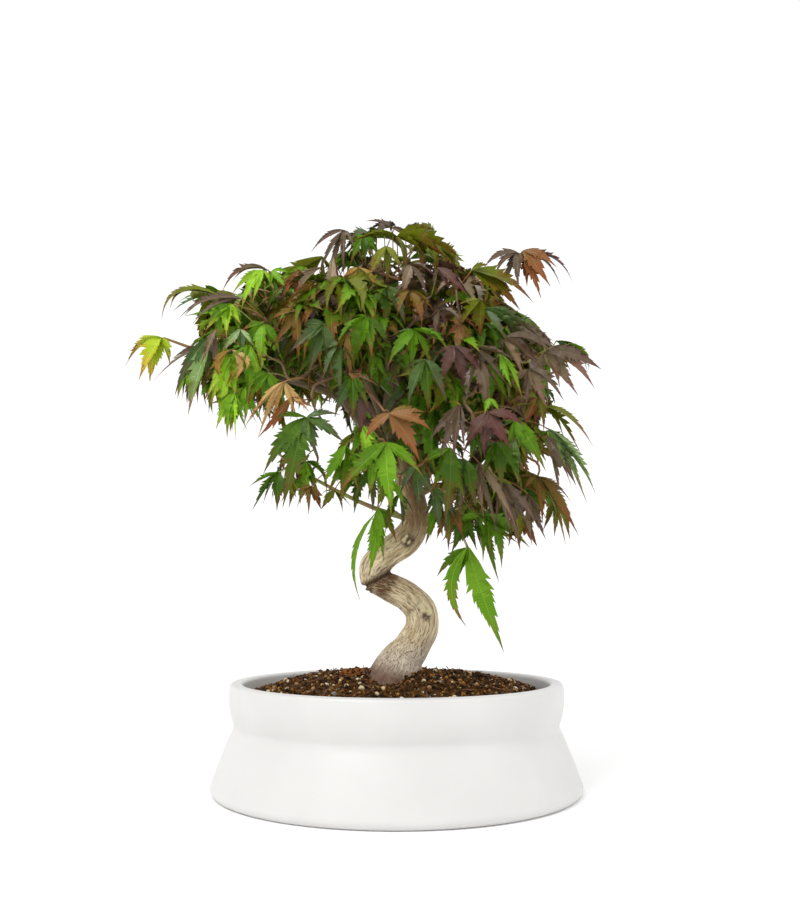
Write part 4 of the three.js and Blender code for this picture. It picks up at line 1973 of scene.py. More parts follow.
@dataclass(frozen=True)
class Silhouette:
    """The crown's outline from the front, sideways and up, with the patches of sky inside it."""

    corners: tuple[tuple[float, float], ...] = (
        (-196, 300), (-180, 313), (-168, 314), (-150, 305), (-148, 312), (-143, 318), (-158, 328),
        (-170, 325), (-170, 335), (-160, 347), (-148, 352), (-135, 349), (-123, 345), (-123, 353),
        (-117, 360), (-105, 363),
        (-90, 366), (-76, 361), (-65, 361), (-60, 372), (-55, 382), (-44, 390), (-30, 391), (-22, 396),
        (-10, 399), (4, 397), (22, 396), (32, 391), (38, 382), (47, 372), (56, 361), (66, 357),
        (75, 342), (90, 329), (100, 318), (112, 312), (125, 309), (136, 302), (144, 293), (146, 286),
        (145, 275), (136, 262), (138, 238), (142, 226), (143, 208), (142, 195), (135, 192), (131, 178),
        (124, 166), (112, 178), (104, 176), (99, 163), (82, 160), (66, 160), (50, 160), (30, 164),
        (20, 170), (5, 185), (-8, 186), (-44, 187), (-62, 186), (-86, 188), (-104, 187), (-98, 203),
        (-86, 220), (-78, 230), (-76, 248), (-104, 242), (-118, 240), (-127, 241), (-133, 252), (-138, 262),
        (-148, 256), (-160, 270), (-160, 287), (-172, 281), (-190, 283),
    )
    openings: tuple[Opening, ...] = (
        Opening(14, 369, 8, 5), Opening(46, 366, 10, 4.5), Opening(-119, 349, 9, 7), Opening(-150, 316, 9, 8),
        Opening(-57, 234, 7, 12), Opening(-39, 243, 9, 6), Opening(127, 267, 12, 15),
        Opening(112, 250, 12, 8),
        Opening(109, 212, 14, 7), Opening(129, 203, 7, 12), Opening(92, 217, 9, 5), Opening(54, 148, 4, 12),
        Opening(-157, 294, 12, 10), Opening(-8, 378, 10, 5), Opening(3, 391, 4, 7), Opening(-51, 374, 5, 6),
        Opening(-78, 262, 5, 5), Opening(132, 226, 8, 14), Opening(112, 281, 6, 8), Opening(120, 312, 12, 5),
    )

    def holds(self, places: np.ndarray) -> np.ndarray:
        """Which places lie inside the outline and clear of the sky.

        Args:
            places: Places sideways and up, in the last axis.

        Returns:
            True for each place inside.
        """
        x, z = places[..., 0, None], places[..., 1, None]
        start = np.array(self.corners)
        end = np.roll(start, -1, 0)
        straddles = (start[:, 1] > z) != (end[:, 1] > z)
        rise = np.where(end[:, 1] == start[:, 1], 1.0, end[:, 1] - start[:, 1])
        crossing = start[:, 0] + (z - start[:, 1]) * (end[:, 0] - start[:, 0]) / rise
        inside = (straddles & (x < crossing)).sum(-1) % 2 == 1
        for opening in self.openings:
            inside &= ~opening.holds(places)
        return inside


T = Tint
FRONT_LEAVES: tuple[PlacedLeaf, ...] = (
    # the lime spray at the far left
    PlacedLeaf(T.LIME, (-169, 312), ((-194, 291), (-184, 281), (-176, 280), (-162, 292)), 0, 0.2, 1.7, 1),
    PlacedLeaf(T.MAUVE, (-138, 303), ((-160, 297), (-175, 279)), 4, 0.2, 0.8, 1),
    # the left shoulder
    PlacedLeaf(T.MOSS, (-126, 342), ((-169, 325), (-163, 334)), 4, 0.42, 0.85, 0, -0.36, 0.6),
    PlacedLeaf(T.SMOKE, (-112, 341), ((-156, 327), (-147, 322), (-134, 322)), 6, 0.24, 0.36, 0, -0.1),
    PlacedLeaf(T.DEEP, (-116, 340), ((-138, 328), (-128, 322)), 2, 0.16, 0.8, 0),
    PlacedLeaf(T.FRESH, (-122, 337), ((-137, 318), (-122, 312), (-112, 322)), 10, 0.1, 1.3, 1),
    PlacedLeaf(T.MAUVE, (-95, 363), ((-126, 346), (-119, 354)), 2, 0.3, 0.8, 0, -0.1, 0.9),
    PlacedLeaf(T.FRESH, (-97, 362), ((-119, 344), (-112, 332), (-104, 338), (-88, 344)), 5, 0.2, 0.75, 0),
    PlacedLeaf(T.BRIGHT, (-90, 362), ((-73, 359), (-78, 346)), 5, 0.12, 0.75, 1),
    PlacedLeaf(T.BRIGHT, (-119, 336), ((-137, 322), (-128, 308), (-112, 312)), 8, 0.12, 1.3, 1),
    PlacedLeaf(T.PALE, (-134, 314), ((-148, 256), (-136, 276)), 12, 0.06, 0.8, 0),
    PlacedLeaf(T.SEA, (-135, 312), ((-158, 270), (-128, 284)), 13, 0.06, 0.85, 0),
    PlacedLeaf(T.SMOKE, (-130, 318), ((-140, 292), (-128, 286)), 16, 0.06, 0.7, 0),
    PlacedLeaf(T.FRESH, (-118, 300), ((-137, 266), (-126, 252), (-114, 262), (-134, 288)), 8, 0.08, 0.8, 0),
    PlacedLeaf(T.BRIGHT, (-108, 276), ((-118, 244), (-108, 250), (-128, 256)), 6, 0.06, 1.1, 0),
    PlacedLeaf(T.FRESH, (-116, 272), ((-128, 246), (-120, 240), (-114, 236), (-106, 245)), 14, 0.06, 0.95, 1),
    PlacedLeaf(T.BRIGHT, (-106, 306), ((-122, 276), (-108, 262), (-94, 276)), 10, 0.08, 1.3, 1),
    PlacedLeaf(T.FRESH, (-122, 292), ((-133, 262), (-120, 256), (-110, 268)), 4, 0.08, 0.85, 1),
    PlacedLeaf(T.BRIGHT, (-96, 322), ((-112, 300), (-98, 290), (-84, 300)), 6, 0.1, 1.3, 1),
    PlacedLeaf(T.RUST, (-70, 362), ((-82, 342), (-72, 334), (-62, 344)), 3, 0.08, 1.0, 1),
    PlacedLeaf(T.BRIGHT, (-66, 364), ((-88, 352), (-82, 344), (-70, 346)), 0, 0.1, 1.0, 0),
    # the top
    PlacedLeaf(
        T.SMOKE, (-38, 392), ((-62, 376), (-57, 358), (-47, 348), (-38, 356), (-28, 374)), 4, 0.18, 0.5, 0
    ),
    PlacedLeaf(T.MAUVE, (-46, 372), ((-54, 327), (-39, 326), (-48, 338)), 8, 0.04, 0.6, 0),
    PlacedLeaf(T.MAUVE, (-54, 364), ((-80, 349), (-74, 340)), 6, 0.1, 0.9, 0),
    PlacedLeaf(T.SMOKE, (-4, 394), ((-23, 399), (-16, 388), (12, 384)), 0, 0.12, 0.9, 1),
    PlacedLeaf(
        T.OLIVE,
        (0, 387),
        ((28, 393), (48, 369), (36, 371), (22, 368), (7, 353), (-33, 384)),
        4, 0.14, 1.35, 0,
    ),
    PlacedLeaf(T.MOSS, (-8, 380), ((-24, 352), (-8, 350), (4, 362)), 6, 0.08, 1.0, 0),
    PlacedLeaf(T.GREEN, (-24, 388), ((-34, 366), (-22, 364), (-12, 372)), 4, 0.1, 1.1, 1),
    PlacedLeaf(T.AMBER, (-28, 364), ((-35, 342), (-24, 340), (-14, 348)), 3, 0.06, 1.0, 1),
    PlacedLeaf(T.SMOKE, (10, 366), ((27, 358), (22, 342), (4, 342)), 6, 0.12, 1.1, 1),
    PlacedLeaf(T.PLUM, (30, 364), ((38, 348), (53, 341)), 6, 0.12, 1.0, 1),
    PlacedLeaf(T.OLIVE, (54, 362), ((99, 337), (89, 332), (78, 336), (66, 366)), 8, 0.16, 1.6, 0, 0.0, 0.25),
    # the rust spray at the upper right
    PlacedLeaf(T.SMOKE, (88, 375), ((63, 364), (71, 358), (78, 352), (88, 348)), 3, 0.2, 0.95, 0),
    PlacedLeaf(
        T.RUST, (92, 377), ((94, 350), (104, 341), (111, 350), (116, 364)), 6, 0.14, 1.25, 0, 0.0, 0.4
    ),
    PlacedLeaf(T.PLUM, (91, 376), ((127, 353), (119, 348)), 2, 0.24, 1.0, 0, 0.16),
    # the middle of the front, from left to right
    PlacedLeaf(T.BRONZE, (-72, 332), ((-70, 294), (-88, 306), (-58, 308)), 6, 0.08, 1.1, 1),
    PlacedLeaf(T.SEA, (-52, 322), ((-63, 284), (-48, 286), (-76, 302)), 9, 0.08, 1.2, 1),
    PlacedLeaf(T.SEA, (-40, 308), ((-40, 268), (-54, 280), (-30, 284)), 11, 0.06, 1.2, 1),
    PlacedLeaf(T.GREEN, (-22, 328), ((-31, 288), (-18, 298), (-44, 304), (-4, 306)), 8, 0.08, 1.2, 1),
    PlacedLeaf(T.BRONZE, (-35, 316), ((-33, 280), (-46, 294)), 13, 0.06, 1.0, 0),
    PlacedLeaf(T.SMOKE, (-48, 344), ((-64, 318), (-50, 310), (-34, 320)), 4, 0.1, 1.2, 1),
    PlacedLeaf(T.BRONZE, (10, 346), ((0, 328), (18, 320), (28, 330)), 8, 0.1, 1.2, 1),
    PlacedLeaf(T.PLUM, (30, 332), ((28, 314), (36, 318), (48, 322)), 9, 0.12, 1.3, 1),
    PlacedLeaf(T.DEEP, (-6, 350), ((-22, 326), (-8, 318), (6, 322)), 3, 0.1, 1.2, 1),
    PlacedLeaf(T.MOSS, (60, 340), ((44, 318), (60, 308), (76, 316)), 6, 0.1, 1.2, 1),
    PlacedLeaf(T.SEA, (62, 333), ((104, 311), (96, 305), (80, 308)), 8, 0.04, 1.0, 0),
    PlacedLeaf(T.SMOKE, (80, 321), ((112, 310), (116, 301), (100, 295)), 4, 0.06, 1.0, 0),
    PlacedLeaf(T.RUST, (-34, 286), ((-12, 276), (-22, 272)), 14, 0.1, 1.0, 0),
    PlacedLeaf(T.GREEN, (12, 318), ((10, 286), (26, 288), (-6, 292), (38, 300)), 8, 0.08, 1.2, 1),
    PlacedLeaf(T.RUST, (46, 322), ((42, 298), (54, 300)), 3, 0.06, 1.3, 1),
    # the dusky right shoulder
    PlacedLeaf(T.MAUVE, (76, 311), ((113, 300), (105, 289), (90, 284)), 10, 0.16, 1.0, 1),
    PlacedLeaf(T.MAUVE, (106, 301), ((146, 289), (141, 275), (129, 270), (116, 276)), 6, 0.18, 1.1, 1),
    PlacedLeaf(T.SMOKE, (56, 305), ((88, 293), (79, 277), (62, 271)), 12, 0.12, 1.05, 1),
    PlacedLeaf(T.MAUVE, (94, 289), ((119, 266), (107, 260), (92, 263)), 14, 0.14, 1.15, 1),
    PlacedLeaf(T.BRIGHT, (74, 300), ((90, 266), (82, 276)), 15, 0.06, 0.62, 0),
    PlacedLeaf(T.PLUM, (40, 306), ((30, 276), (48, 272), (62, 284)), 8, 0.08, 1.2, 1),
    PlacedLeaf(T.SMOKE, (58, 296), ((48, 262), (64, 258), (76, 270)), 10, 0.08, 1.2, 1),
    PlacedLeaf(T.DEEP, (20, 296), ((8, 262), (22, 258), (36, 266)), 7, 0.06, 1.2, 1),
    PlacedLeaf(T.BRONZE, (100, 268), ((76, 262), (90, 248), (104, 244)), 6, 0.1, 1.1, 1),
    PlacedLeaf(T.BRONZE, (111, 305), ((146, 289), (137, 292), (124, 288)), 2, 0.16, 0.95, 0),
    PlacedLeaf(T.DEEP, (56, 248), ((51, 222), (60, 223)), 12, 0.06, 1.2, 1),
    PlacedLeaf(T.SEA, (34, 198), ((23, 168), (34, 171), (44, 178)), 6, 0.06, 1.0, 0),
    PlacedLeaf(T.SMOKE, (92, 200), ((104, 168), (94, 164), (84, 170)), 6, 0.08, 0.75, 0),
    PlacedLeaf(T.GREEN, (-34, 226), ((-48, 200), (-38, 197), (-27, 203)), 10, 0.06, 1.1, 0),
    PlacedLeaf(T.BRIGHT, (-14, 228), ((-20, 196), (-11, 191)), 12, 0.05, 0.9, 0),
    # the curled dry leaf at the left
    PlacedLeaf(T.AMBER, (-120, 303), ((-131, 290), (-122, 280)), 16, 0.0, 0.8, 0, -0.45, 0.5),
    PlacedLeaf(T.TAN, (-118, 303), ((-108, 288), (-116, 281)), 16, 0.0, 0.7, 0, 0.45, 0.5),
    PlacedLeaf(T.PALE, (-112, 318), ((-126, 300), (-112, 296), (-102, 306)), 12, 0.06, 0.8, 1),
    # the tan and rust leaves at the left
    PlacedLeaf(
        T.TAN,
        (-80, 280),
        ((-110, 243), (-104, 252), (-98, 240), (-88, 246), (-62, 258), (-70, 252)),
        18, 0.08, 0.6, 0,
    ),
    PlacedLeaf(T.RUST, (-76, 268), ((-98, 240), (-88, 246), (-60, 262)), 20, 0.06, 0.9, 0),
    PlacedLeaf(T.GREEN, (-92, 286), ((-106, 262), (-90, 254), (-78, 262)), 10, 0.08, 1.2, 1),
    # the leaves that hide the fork at the left
    PlacedLeaf(T.DEEP, (-32, 284), ((-44, 254), (-32, 250), (-20, 260)), 12, 0.06, 1.1, 1),
    PlacedLeaf(T.PLUM, (-26, 270), ((-36, 243), (-26, 240), (-16, 250)), 8, 0.06, 0.9, 0),
    # the big dark leaf low on the left and its neighbours
    PlacedLeaf(
        T.SEA,
        (-64, 254),
        ((-88, 253), (-94, 214), (-80, 190), (-56, 224), (-36, 235), (-40, 256)),
        20, 0.1, 1.15, 0, 0.0, 0.3,
    ),
    PlacedLeaf(T.GREEN, (-83, 215), ((-104, 205), (-102, 187), (-94, 192), (-84, 188)), 12, 0.06, 1.2, 1),
    PlacedLeaf(T.BRONZE, (-60, 205), ((-70, 190), (-62, 185), (-53, 189)), 10, 0.06, 1.2, 1),
    PlacedLeaf(T.MOSS, (-44, 202), ((-53, 189), (-38, 186), (-31, 190)), 10, 0.06, 1.2, 1),
    PlacedLeaf(T.BRIGHT, (-36, 234), ((-52, 206), (-40, 196), (-26, 206)), 12, 0.06, 1.2, 0),
    PlacedLeaf(T.FRESH, (-24, 248), ((-34, 222), (-22, 216), (-10, 228)), 10, 0.06, 1.2, 1),
    # the bright leaf and the rust leaf in the middle
    PlacedLeaf(
        T.BRIGHT, (-8, 236), ((-40, 202), (-4, 188), (18, 213), (-26, 214)), 24, 0.06, 1.2, 0, 0.0, 0.35
    ),
    PlacedLeaf(T.RUST, (-5, 257), ((24, 245), (20, 258), (16, 223), (-22, 238)), 28, 0.1, 1.3, 0, 0.0, 0.25),
    PlacedLeaf(T.DEEP, (-20, 216), ((-17, 187), (-30, 194)), 14, 0.05, 1.0, 0),
    PlacedLeaf(T.SEA, (14, 218), ((15, 188), (2, 198), (26, 196)), 12, 0.05, 1.1, 1),
    PlacedLeaf(T.GREEN, (28, 194), ((20, 164), (32, 170)), 10, 0.06, 1.1, 1),
    # the purple leaves right of the middle
    PlacedLeaf(T.PLUM, (65, 258), ((47, 228), (62, 225), (82, 231), (90, 248)), 22, 0.1, 1.3, 0, 0.0, 0.3),
    PlacedLeaf(T.SMOKE, (45, 263), ((23, 238), (30, 225), (40, 222), (48, 230)), 20, 0.08, 0.85, 0),
    PlacedLeaf(T.BRIGHT, (66, 268), ((74, 258), (62, 256)), 20, 0.08, 1.0, 0),
    PlacedLeaf(T.OLIVE, (103, 262), ((118, 240), (130, 228), (139, 233)), 8, 0.3, 0.75, 0),
    PlacedLeaf(T.PALE, (107, 246), ((134, 192), (140, 199), (124, 202)), 12, 0.1, 1.2, 0),
    PlacedLeaf(T.MAUVE, (106, 240), ((115, 197), (126, 206)), 14, 0.06, 1.0, 0),
    PlacedLeaf(T.GREEN, (85, 252), ((105, 216), (92, 222), (76, 226)), 12, 0.08, 0.9, 1),
    PlacedLeaf(
        T.BRONZE, (98, 212), ((118, 164), (127, 171), (123, 193), (102, 179), (90, 203)), 10, 0.12, 1.0, 1
    ),
    PlacedLeaf(T.MAUVE, (58, 222), ((78, 196), (84, 176), (70, 170), (61, 182), (50, 190)), 14, 0.1, 0.52, 0),
    PlacedLeaf(T.SMOKE, (74, 208), ((99, 176), (97, 164), (86, 162), (80, 172), (70, 178)), 17, 0.14, 0.6, 0),
    PlacedLeaf(T.DEEP, (70, 236), ((88, 206), (74, 202), (60, 210)), 16, 0.08, 1.2, 1),
    PlacedLeaf(T.GREEN, (38, 232), ((33, 177), (24, 200), (48, 196)), 12, 0.05, 1.1, 1),
    PlacedLeaf(T.SEA, (48, 224), ((44, 184), (56, 190), (36, 198)), 10, 0.05, 1.1, 1),
    PlacedLeaf(T.GREEN, (-26, 214), ((-40, 192), (-30, 186), (-16, 200)), 8, 0.05, 1.1, 1),
    PlacedLeaf(T.BRIGHT, (-6, 212), ((-14, 190), (-4, 184), (6, 190)), 8, 0.05, 1.1, 0),
    PlacedLeaf(T.DEEP, (2, 200), ((-8, 172), (4, 176), (12, 186)), 4, 0.05, 1.0, 0),
    PlacedLeaf(T.SEA, (26, 204), ((20, 184), (31, 172), (40, 184)), 8, 0.05, 1.1, 0),
    PlacedLeaf(T.BRONZE, (38, 190), ((28, 168), (36, 160), (46, 170)), 8, 0.05, 1.1, 0),
    PlacedLeaf(T.BRONZE, (84, 190), ((78, 163), (86, 160), (98, 163)), 10, 0.06, 1.1, 0),
    PlacedLeaf(T.MOSS, (112, 198), ((102, 174), (110, 170), (121, 168)), 8, 0.06, 1.1, 0),
    PlacedLeaf(T.PALE, (82, 240), ((74, 216), (86, 206), (98, 222)), 15, 0.06, 1.1, 0),
    # the leaves that hang lowest
    PlacedLeaf(T.GREEN, (64, 184), ((73, 148), (65, 156), (80, 164)), 9, 0.05, 1.1, 0),
    PlacedLeaf(T.GREEN, (58, 184), ((93, 162), (85, 165), (66, 187), (40, 178)), 6, 0.1, 1.1, 1),
    PlacedLeaf(T.GREEN, (56, 182), ((71, 138), (60, 152)), 8, 0.06, 0.85, 0),
    PlacedLeaf(T.DEEP, (47, 184), ((32, 167), (38, 158), (56, 160)), 4, 0.08, 1.2, 1),
    PlacedLeaf(T.BRIGHT, (50, 162), ((74, 90),), 14, 0.0, 0.86, 0, -0.02, 0.2),
    PlacedLeaf(T.GREEN, (50, 162), ((28, 142), (40, 134)), 12, 0.06, 1.1, 0),
    PlacedLeaf(T.BRIGHT, (49, 162), ((48, 108),), 15, 0.0, 0.7, 0, -0.36, 0.2),
    PlacedLeaf(T.BRIGHT, (-13, 189), ((-19, 143), (-9, 153), (0, 166)), 2, 0.06, 1.0, 0),
    PlacedLeaf(T.BRIGHT, (-15, 186), ((-25, 125),), 0, 0.0, 0.36, 0, -0.3),
)


@dataclass(frozen=True)
class Layer:
    """One layer of sprays round the masses: how far out it is, and the patch a spray covers."""

    at: float
    patch: float
    own_palette: bool = True


@dataclass(frozen=True)
class Hollow:
    """A space between the masses, behind or above, which a few loose leaves half fill."""

    middle: tuple[float, float, float]
    halves: tuple[float, float, float]
    leaves: int


@dataclass
class Crown:
    """The foliage: placed leaves at the front, and leaves grown by rule all round."""

    masses: tuple[Mass, ...] = (
        Mass("top_mass", "top", Palette.CREST, 1.0, 0.42),
        Mass("left_upper_mass", "left", Palette.GREEN_SIDE, 1.0, 0.5),
        Mass("left_lower_mass", "left", Palette.GREEN_SIDE, 0.9, 0.62),
        Mass("right_upper_mass", "right", Palette.DUSK_SIDE, 1.0, 0.45),
        Mass("right_shoulder_mass", "right", Palette.DUSK_SIDE, 1.0, 0.5),
        Mass("right_lower_mass", "right", Palette.EARTH, 0.9, 0.65),
        Mass("low_right_mass", "right", Palette.SHADE, 0.6, 0.6, 42),
        Mass("right_front_mass", "front", Palette.SHADE, 0.9, 0.6),
        Mass("centre_front_mass", "front", Palette.MIXED, 1.0, 0.55),
        Mass("low_centre_mass", "front", Palette.SHADE, 0.35, 0.7, 40),
        Mass("low_left_mass", "left", Palette.SHADE, 0.6, 0.7, 40),
        Mass("back_mass", "back", Palette.MIXED, 1.0, 0.5),
        Mass("left_back_mass", "back", Palette.GREEN_SIDE, 1.0, 0.55),
        Mass("right_back_mass", "back", Palette.DUSK_SIDE, 1.0, 0.55),
        Mass("low_back_mass", "back", Palette.SHADE, 0.9, 0.68),
        Mass("right_top_spray", "right", Palette.CREST, 0.3, 0.4, 36),
        Mass("left_tip_spray", "left", Palette.LIME_SIDE, 0.0, 0.5, 26),
        Mass("hanging_spray", "right", Palette.SHADE, 0.3, 0.8, 30),
        Mass("trunk_shoot_spray", "front", Palette.LIME_SIDE, 0.0, 0.8, 26),
    )
    view: FrontView = field(default_factory=FrontView)
    silhouette: Silhouette = field(default_factory=Silhouette)
    heart: tuple[float, float, float] = (0.0, 0.0, 270.0)
    layers: tuple[Layer, ...] = (Layer(0.78, 340.0), Layer(0.46, 330.0, False))
    gaps: tuple[Hollow, ...] = (
        Hollow((6.0, 34.0, 262.0), (44.0, 22.0, 46.0), 26),
        Hollow((-70.0, 30.0, 300.0), (24.0, 30.0, 18.0), 18),
        Hollow((-54.0, 10.0, 292.0), (15.0, 17.0, 15.0), 12),
    )
    surface_power: float = 1.6
    clear_at: float = 0.62
    reach_at: float = 0.95
    stalk: tuple[float, float] = (16.0, 30.0)
    behind_front: float = 16.0
    least_lobes: int = 4
    flank_angle: float = 42.0
    open_below: float = 205.0
    open_middle: float = 5.0
    open_half: float = 32.0
    seed: int = 4

    def __post_init__(self) -> None:
        """Reads where the masses are."""
        self.rng = np.random.default_rng(self.seed)
        self.middles, self.halves = [], []
        for mass in self.masses:
            low, high = (np.array(corner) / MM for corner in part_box(mass.node))
            self.middles.append((low + high) / 2)
            self.halves.append((high - low) / 2)
        self.leaves: dict[str, list[Lobe]] = {mass.region: [] for mass in self.masses}
        self.stalks: list[tuple[np.ndarray, np.ndarray, Tint]] = []
        self.count = 0

    def _buried(self, point: np.ndarray, own: int) -> bool:
        """Whether a point is deep inside another mass.

        Args:
            point: The point.
            own: The number of its own mass.

        Returns:
            True where it is.
        """
        for number, (middle, half) in enumerate(zip(self.middles, self.halves)):
            if number != own and np.linalg.norm((point - middle) / half) < self.clear_at:
                return True
        return False

    def _outside(self, point: np.ndarray) -> bool:
        """Whether a point is out of every mass."""
        spans = zip(self.middles, self.halves)
        return min(np.linalg.norm((point - middle) / half) for middle, half in spans) > self.reach_at

    def _in_outline(self, lobe: Lobe) -> bool:
        """Whether a lobe keeps inside the crown's outline as it shows from the front.

        Args:
            lobe: The lobe.

        Returns:
            True where it does.
        """
        middle = 0.25 * lobe.root + 0.5 * lobe.bend + 0.25 * (lobe.tip - lobe.hook)
        aside = np.array([lobe.half_width, 0, 0])
        late = 0.3 * middle + 0.7 * lobe.tip
        points = np.array([middle - aside, middle + aside, late, lobe.tip])
        return bool(self.silhouette.holds(self.view.seen(points)).all())

    def _hang(self, base: np.ndarray, outward: np.ndarray, mass: Mass, tint: Tint) -> None:
        """Hangs one leaf, unless it would reach far out of the crown.

        Args:
            base: Where its stalk ends.
            outward: The way out of the crown there.
            mass: The mass that it belongs to.
            tint: Its colours.
        """
        rng = self.rng
        level = unit(outward * [1, 1, 0] + rng.normal(0, 0.35, 3) * [1, 1, 0])
        face = unit(0.7 * outward + 0.55 * UP + rng.normal(0, 0.34, 3))
        face = unit(face * [1, 1, 0] + UP * max(face[2], -0.05))
        wish = DOWN * (0.35 + mass.droop) + level * (1.1 - mass.droop) * 1.4 + rng.normal(0, 0.36, 3)
        forward = unit(wish - dot(wish, face) * face)
        droop = mass.droop * rng.uniform(0.6, 1.25)
        length = mass.length * rng.uniform(0.68, 1.15)
        palm = Palms.SEVEN if rng.random() < 0.7 else Palms.FIVE
        leaf = Leaf(
            base,
            forward,
            face,
            length,
            tint,
            droop,
            palm,
            lift=rng.uniform(0.04, 0.24),
            fold=rng.uniform(0.35, 1.0),
            slimness=rng.uniform(0.75, 1.2),
            turning=rng.normal(0, 0.16),
        )
        hanging = unit((1 - droop) * forward + droop * DOWN)
        for _ in range(4):
            middle_tip = base + leaf.length * (0.5 * forward + 0.5 * hanging)
            lobes = [lobe for lobe in leaf.lobes(rng) if self._in_outline(lobe)]
            if not self._outside(middle_tip) and len(lobes) >= self.least_lobes:
                break
            leaf.length *= 0.84
        else:
            return
        self.leaves[mass.region] += lobes
        inward = unit(-0.8 * outward - 0.35 * UP + rng.normal(0, 0.22, 3))
        self.stalks.append((base + inward * rng.uniform(*self.stalk), base, tint))
        self.count += 1

    def grow(self) -> None:
        """Hangs leaves all round each mass, in an outer and an inner layer of sprays."""
        for layer in self.layers:
            for number in range(len(self.masses)):
                self._cover(number, layer)
            log.info("%d leaves hung", self.count)
        self._loosen()

    def _loosen(self) -> None:
        """Hangs loose leaves in the spaces between the masses."""
        rng = self.rng
        mass = next(mass for mass in self.masses if mass.node == "low_back_mass")
        for gap in self.gaps:
            for _ in range(gap.leaves):
                way = unit(rng.normal(0, 1, 3))
                point = np.array(gap.middle) + way * np.array(gap.halves) * rng.uniform(0.4, 1.0)
                self._hang(point, unit(way + [0, 0.6, 0.4]), mass, Palette.SHADE.pick(rng))

    def _cover(self, number: int, layer: Layer) -> None:
        """Hangs one layer of sprays round one mass, each spray of one tint.

        Args:
            number: The mass's number.
            layer: The layer.
        """
        rng, mass = self.rng, self.masses[number]
        middle, half = self.middles[number], self.halves[number]
        (a, b, c), power = half * layer.at, self.surface_power
        surface = ((a * b) ** power + (a * c) ** power + (b * c) ** power) / 3
        area = 4 * math.pi * surface ** (1 / power)
        sprays = int(round(area * mass.fill / layer.patch))
        turn = rng.uniform(0, 2 * math.pi)
        for step in range(sprays):
            height = 1 - 2 * (step + 0.5) / sprays
            angle = turn + step * GOLDEN_ANGLE + rng.normal(0, 0.2)
            flat = math.sqrt(1 - height**2)
            way = np.array([flat * math.cos(angle), flat * math.sin(angle), height])
            palette = mass.palette if layer.own_palette else Palette.SHADE
            tint = palette.pick(rng)
            for _ in range(1 + (rng.random() < 0.7)):
                near = unit(way + rng.normal(0, 0.2, 3))
                point = middle + near * half * layer.at * rng.uniform(0.78, 1.1)
                point[2] += 0.1 * mass.length
                clear = point[2] < self.open_below and abs(point[0] - self.open_middle) < self.open_half
                if clear or self._buried(point, number):
                    continue
                limit = -self.view.depth(point[0], point[2]) + self.behind_front
                point[1] = max(point[1], limit)
                outward = unit(unit(near / half) + 0.8 * unit(point - np.array(self.heart)))
                self._hang(point, outward, mass, tint if rng.random() < 0.85 else palette.pick(rng))

    def place(self) -> None:
        """Hangs the placed leaves of the front."""
        rng = self.rng
        for leaf in FRONT_LEAVES:
            depth = self.view.depth(*leaf.base) + leaf.nearer
            base = self.view.brought(*leaf.base, depth)
            face = unit(np.array([0.0, -0.8, 0.6]) + rng.normal(0, 0.45, 3) * leaf.folded)
            reaches = []
            for x, z in leaf.tips:
                tip = self.view.brought(x, z, depth + rng.uniform(-4, 9))
                reaches.append(np.linalg.norm(tip - base))
                self._placed_lobe(leaf, base, tip, face)
            for away in self._flanks(leaf):
                tip = base + away * float(np.mean(reaches)) * 0.6
                if self.silhouette.holds(self.view.seen(tip)):
                    self._placed_lobe(leaf, base, tip, face)
            inward = unit(np.array(self.heart) - base + rng.normal(0, 12, 3) + DOWN * 10)
            self.stalks.append((base + inward * rng.uniform(*self.stalk), base, leaf.tint))
            self.count += 1

    def _flanks(self, leaf: PlacedLeaf) -> list[np.ndarray]:
        """The ways that the small lobes beside the settled ones take.

        Args:
            leaf: The placed leaf.

        Returns:
            One direction for each extra lobe.
        """
        base_x, base_z = leaf.base
        angles = sorted(math.atan2(z - base_z, x - base_x) % (2 * math.pi) for x, z in leaf.tips)
        if angles[-1] - angles[0] > math.pi:
            angles = sorted(angle - 2 * math.pi if angle > math.pi else angle for angle in angles)
        beside = math.radians(self.flank_angle)
        wanted = [angles[0] - beside, angles[-1] + beside][: leaf.extra]
        return [unit(np.array([math.cos(a), self.rng.uniform(0.1, 0.7), math.sin(a)])) for a in wanted]

    def _placed_lobe(self, leaf: PlacedLeaf, base: np.ndarray, tip: np.ndarray, face: np.ndarray) -> None:
        """Adds one lobe of a placed leaf.

        Args:
            leaf: The placed leaf.
            base: Where its lobes start.
            tip: Where this lobe ends.
            face: The way that the leaf faces.
        """
        rng = self.rng
        length = float(np.linalg.norm(tip - base))
        aside = rng.normal(0, 0.04, 3) * length
        bend = base * 0.54 + tip * 0.46 + np.array([leaf.bow, -0.12, leaf.arch]) * length + aside
        hook = np.array([rng.normal(0, 0.07), 0, rng.normal(-0.03, 0.05)]) * length
        self.leaves["front"].append(
            Lobe(
                root=base,
                bend=bend,
                tip=tip,
                face=unit(face + rng.normal(0, 0.5, 3) * leaf.folded),
                half_width=length * 0.094 * leaf.width * rng.uniform(0.85, 1.15) + 0.45,
                fold=rng.uniform(0.5, 1.4) * leaf.folded,
                tint=leaf.tint.near(rng),
                hook=hook,
                turning=rng.normal(0, 0.1),
            )
        )

    def build(self) -> list[bpy.types.Object]:
        """Makes the leaves.

        Returns:
            One piece for each region of the crown.
        """
        blades = Blades(self.seed + 1)
        made = []
        for region in self.leaves:
            piece = Piece(f"leaves_{region}")
            blades.add(piece, self.leaves[region])
            made.append(piece.build("foliage", [m.node for m in self.masses if m.region == region]))
        return made


